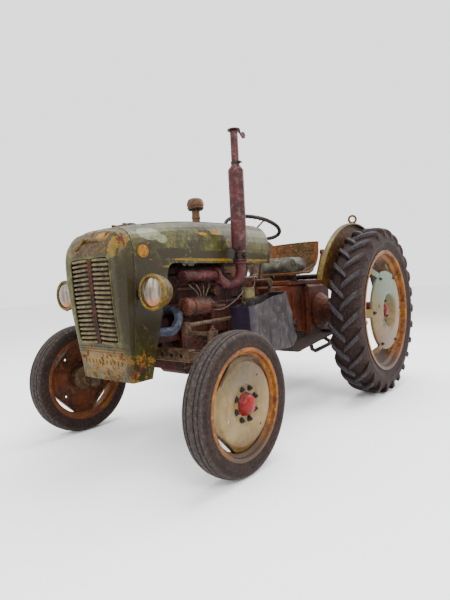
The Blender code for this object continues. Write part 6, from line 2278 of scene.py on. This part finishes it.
@dataclass
class Driveline(Assembly):
    """Bolts, ribs, plugs and covers of the clutch and rear housings."""

    plug: Profile = (
        (0, 0.124), (0.036, 0.124), (0.037, 0.127), (0.034, 0.134), (0.014, 0.137), (0, 0.137))

    def build(self) -> None:
        """Builds the details."""
        places = []
        shape = Shape()
        for sign in (-1, 1):
            for z in (0.47, 0.53, 0.6, 0.67, 0.74, 0.785):
                places += [
                    ((sign * 0.146, -0.055, z), (sign, 0, 0)), ((sign * 0.146, -0.424, z),
                    (sign, 0, 0))]
            shape.box(
                (sign * 0.143 - 0.004, -0.064, 0.445), (sign * 0.143 + 0.004, -0.041, 0.798), 0.002)
            shape.box(
                (sign * 0.143 - 0.004, -0.434, 0.445), (sign * 0.143 + 0.004, -0.412, 0.798), 0.002)
            plug = self.plug if sign > 0 else [(r, -along) for r, along in reversed(self.plug)]
            for y, z in ((0.06, 0.56), (0.22, 0.66), (0.33, 0.56)):
                shape.turn(plug, Axis.X, (0, y, z), 22)
                places += [
                    ((sign * 0.134, y + 0.027 * cos(t), z + 0.027 * sin(t)), (sign, 0, 0))
                    for t in (0.5, 2.6, 4.7)]
            for y in (0.0, 0.14, 0.28, 0.42):
                low_x, high_x = sorted((sign * 0.12, sign * 0.131))
                shape.box((low_x, y - 0.005, 0.47), (high_x, y + 0.005, 0.8), 0.002)
        part("housing_ribs", shape, self.shades.cast)
        fixings("housing_bolts", Fixing.BOLT, places, self.shades.cast, 0.85)
        flange = [
            ((sign * 0.125, y, 0.8605 + 0.02), (0, 0, 1)) for sign in (-1, 1)
            for y in (0.25, 0.38, 0.52, 0.66, 0.8)]
        fixings("cover_bolts", Fixing.BOLT, flange, self.shades.parts, 1.0)


@dataclass
class FrontAxle(Assembly):
    """Nuts and washers of the front axle, its pin and its knuckles."""

    def build(self) -> None:
        """Builds the details."""
        low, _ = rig.box("front_axle")
        places = [
            ((sign * x, low.y + 0.001, 0.555), (0, -1, 0)) for sign in (-1, 1)
            for x in (0.2, 0.272)]
        fixings("beam_bolts", Fixing.NUT, places, self.shades.dark, 1.5)
        pin = Shape().turn(
            [(0, -1.176), (0.019, -1.176), (0.021, -1.172), (0.021, -1.16), (0, -1.16)], Axis.Y,
            (0, 0, 0.555), 24)
        part("axle_pin", pin, self.shades.dark)
        for side, sign in SIDES:
            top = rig.box(f"knuckle_{side}")[1].z
            fixings(
                f"kingpin_nut_{side}", Fixing.NUT, [((sign * 0.5, -1.138, top - 0.006), (0, 0, 1))],
                self.shades.parts, 2.0, f"knuckle_{side}")


@dataclass
class Seat(Assembly):
    """The rolled edge of the seat pan, its slots and its bolts."""

    side: Sequence[Point] = (
        (0.19, 0.243, 0.953), (0.222, 0.262, 0.957), (0.227, 0.38, 0.962), (0.226, 0.5, 1.02),
        (0.222, 0.556, 1.11), (0.214, 0.571, 1.203))

    def build(self) -> None:
        """Builds the trim."""
        path = smooth_path(self.side, 6)
        edge = Shape().tube(path, 0.0058, 10)
        edge.tube([(-p[0], p[1], p[2]) for p in path], 0.0058, 10)
        edge.tube(
            smooth_path([path[-1], (0.1, 0.573, 1.207), (-0.1, 0.573, 1.207),
            (-path[-1][0], path[-1][1], path[-1][2])], 6), 0.0058, 10)
        edge.tube([path[0], (-path[0][0], path[0][1], path[0][2])], 0.0058, 10)
        part("seat_edge", edge, self.shades.pan)
        skin = Skin("seat_pan")
        panels = Shape()
        places = []
        for x in (-0.13, 0.0, 0.13):
            place, _ = skin.front(x, 1.16)
            panels.box(
                (x - 0.052, place.y - 0.004, 1.128), (x + 0.052, place.y + 0.001, 1.19), 0.002)
            for dx, dz in ((-0.042, 0.022), (0.042, 0.022), (-0.042, -0.022), (0.042, -0.022)):
                places.append(((x + dx, place.y - 0.004, 1.159 + dz), (0, -1, 0)))
        part("seat_panels", panels, self.shades.pan)
        fixings("seat_bolts", Fixing.RIVET, places, self.shades.dark, 1.0)


PIECES = (
    FrontTyres, RearTyres, FrontWheels, RearWheels, Nose, Hood, Lamps, ExhaustLine, Breather,
    SteeringWheel, Hoses, EngineBay, Cushion, Seat, Fenders, Tub, Driveline, FrontAxle)


@dataclass
class Rest(Assembly):
    """Finishes for the CAD nodes that show as they are."""

    def build(self) -> None:
        """Gives every CAD node that has no piece of its own a finish."""
        table = (
            (self.shades.iron, ("engine", "front_support", "radiator", "generator")),
            (self.shades.cast, ("clutch_housing", "rear_housing", "lift_cover", "drawbar",
            "top_link")), (self.shades.exhaust, ("exhaust_manifold", "exhaust_stack", "rain_cap")),
            (self.shades.parts, ("air_precleaner", "steering_column", "fan")),
            (self.shades.bowl, ("fuel_filter",)),
            (self.shades.axle, ("front_axle", "radius_rod_left", "radius_rod_right",
            "drag_link_left", "drag_link_right", "drop_arm_left", "drop_arm_right", "knuckle_left",
            "knuckle_right")), (self.shades.dark, ("pto_shaft", "lift_arms", "lift_rod_left",
            "lift_rod_right", "lower_link_left", "lower_link_right", "gear_lever", "pedal_left",
            "pedal_right", "footboard_left", "footboard_right")), (self.shades.tub, ("side_tub",)),
            (self.shades.hose, ("lower_hose",)), (self.shades.pan, ("seat_pan",)),
            (self.shades.hide, ("seat_cushion",)), (self.shades.grip, ("steering_wheel",)),
            (self.shades.fender, ("fender_left", "fender_right")))
        for finish, nodes in table:
            for node in nodes:
                dress(node, finish)
            LOG.info("%s: %s", finish.name, ", ".join(nodes))


@dataclass(frozen=True)
class Studio:
    """A pale floor, soft light and the camera."""

    place: Point = (1.895, -2.769, 0.905)
    yaw: float = 0.698
    pitch: float = -0.044
    roll: float = -0.052
    lens: float = 26.63
    shift: tuple[float, float] = (0.01635, 0.0053)
    floor: Colour = (0.92, 0.92, 0.92)
    reach: float = 30.0
    sky: Colour = (0.93, 0.94, 0.96)
    sky_strength: float = 2.1
    target: Point = (0.0, -0.3, 0.7)
    lamps: tuple[tuple[str, Point, float, float], ...] = (
        ("key", (4.6, -3.4, 4.6), 2.4, 300.0), ("front", (-3.0, -5.0, 3.0), 3.0, 60.0),
        ("top", (0.4, 0.4, 5.6), 3.5, 330.0), ("back", (1.5, 4.6, 4.0), 3.0, 160.0))

    def camera(self) -> None:
        """Sets the camera."""
        level = cos(self.pitch)
        ahead = Vector((-sin(self.yaw) * level, cos(self.yaw) * level, sin(self.pitch)))
        right = ahead.cross(Vector((0, 0, 1))).normalized()
        up = right.cross(ahead)
        across = right * cos(self.roll) + up * sin(self.roll)
        tall = up * cos(self.roll) - right * sin(self.roll)
        data = bpy.data.cameras.new("view")
        data.lens = self.lens
        data.shift_x, data.shift_y = self.shift
        data.clip_start = 0.05
        camera = shown("view", data)
        camera.matrix_world = Matrix(
            ((across.x, tall.x, -ahead.x, self.place[0]), (across.y, tall.y, -ahead.y,
            self.place[1]), (across.z, tall.z, -ahead.z, self.place[2]), (0.0, 0.0, 0.0, 1.0)))
        bpy.context.scene.camera = camera

    def ground(self) -> None:
        """Lays the floor."""
        shape = Shape()
        shape.grid(
            [[(x, y, 0.0) for x in (-self.reach, self.reach)] for y in (self.reach, -self.reach)])
        floor = shown("floor", shape.mesh("floor"))
        recipe = Recipe("pale_floor")
        tone = recipe.mix(
            recipe.noise(0.5, 3, 0.5), self.floor, tuple(0.97 * c for c in self.floor))
        floor.data.materials.append(recipe.finish(tone, 0.9))
        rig.stage(floor)

    def light(self) -> None:
        """Hangs the lamps and lights the world."""
        target = Vector(self.target)
        for name, place, size, power in self.lamps:
            data = bpy.data.lights.new(name, "AREA")
            data.size = size
            data.energy = power
            lamp = shown(name, data)
            lamp.location = place
            lamp.rotation_euler = (Vector(place) - target).to_track_quat("Z", "Y").to_euler()
        world = bpy.data.worlds.new("sky")
        bpy.context.scene.world = world
        world.use_nodes = True
        sockets = world.node_tree.nodes["Background"].inputs
        sockets["Color"].default_value = (*self.sky, 1.0)
        sockets["Strength"].default_value = self.sky_strength

    def build(self) -> None:
        """Builds floor, light and camera."""
        self.ground()
        self.light()
        self.camera()


def write_size(path: str) -> None:
    """Writes the CAD's box and the finished model's box.

    Args:
        path: The file.
    """
    boxes = {
        "cad": [list(corner) for corner in CAD_BOX], "visual": [list(corner)
        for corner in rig.bounds()]}
    with open(path, "w", encoding="utf-8") as target:
        json.dump(boxes, target, indent=1)
    LOG.info("box %s", boxes)


def main() -> None:
    """Builds the whole scene."""
    logging.basicConfig(level=logging.INFO, format="%(message)s", stream=sys.stdout)
    shades = Shades()
    Rest(shades).build()
    for maker in PIECES:
        LOG.info("-- %s", maker.__name__)
        maker(shades).build()
    Studio().build()
    write_size("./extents.json")


if __name__ == "__main__":
    main()
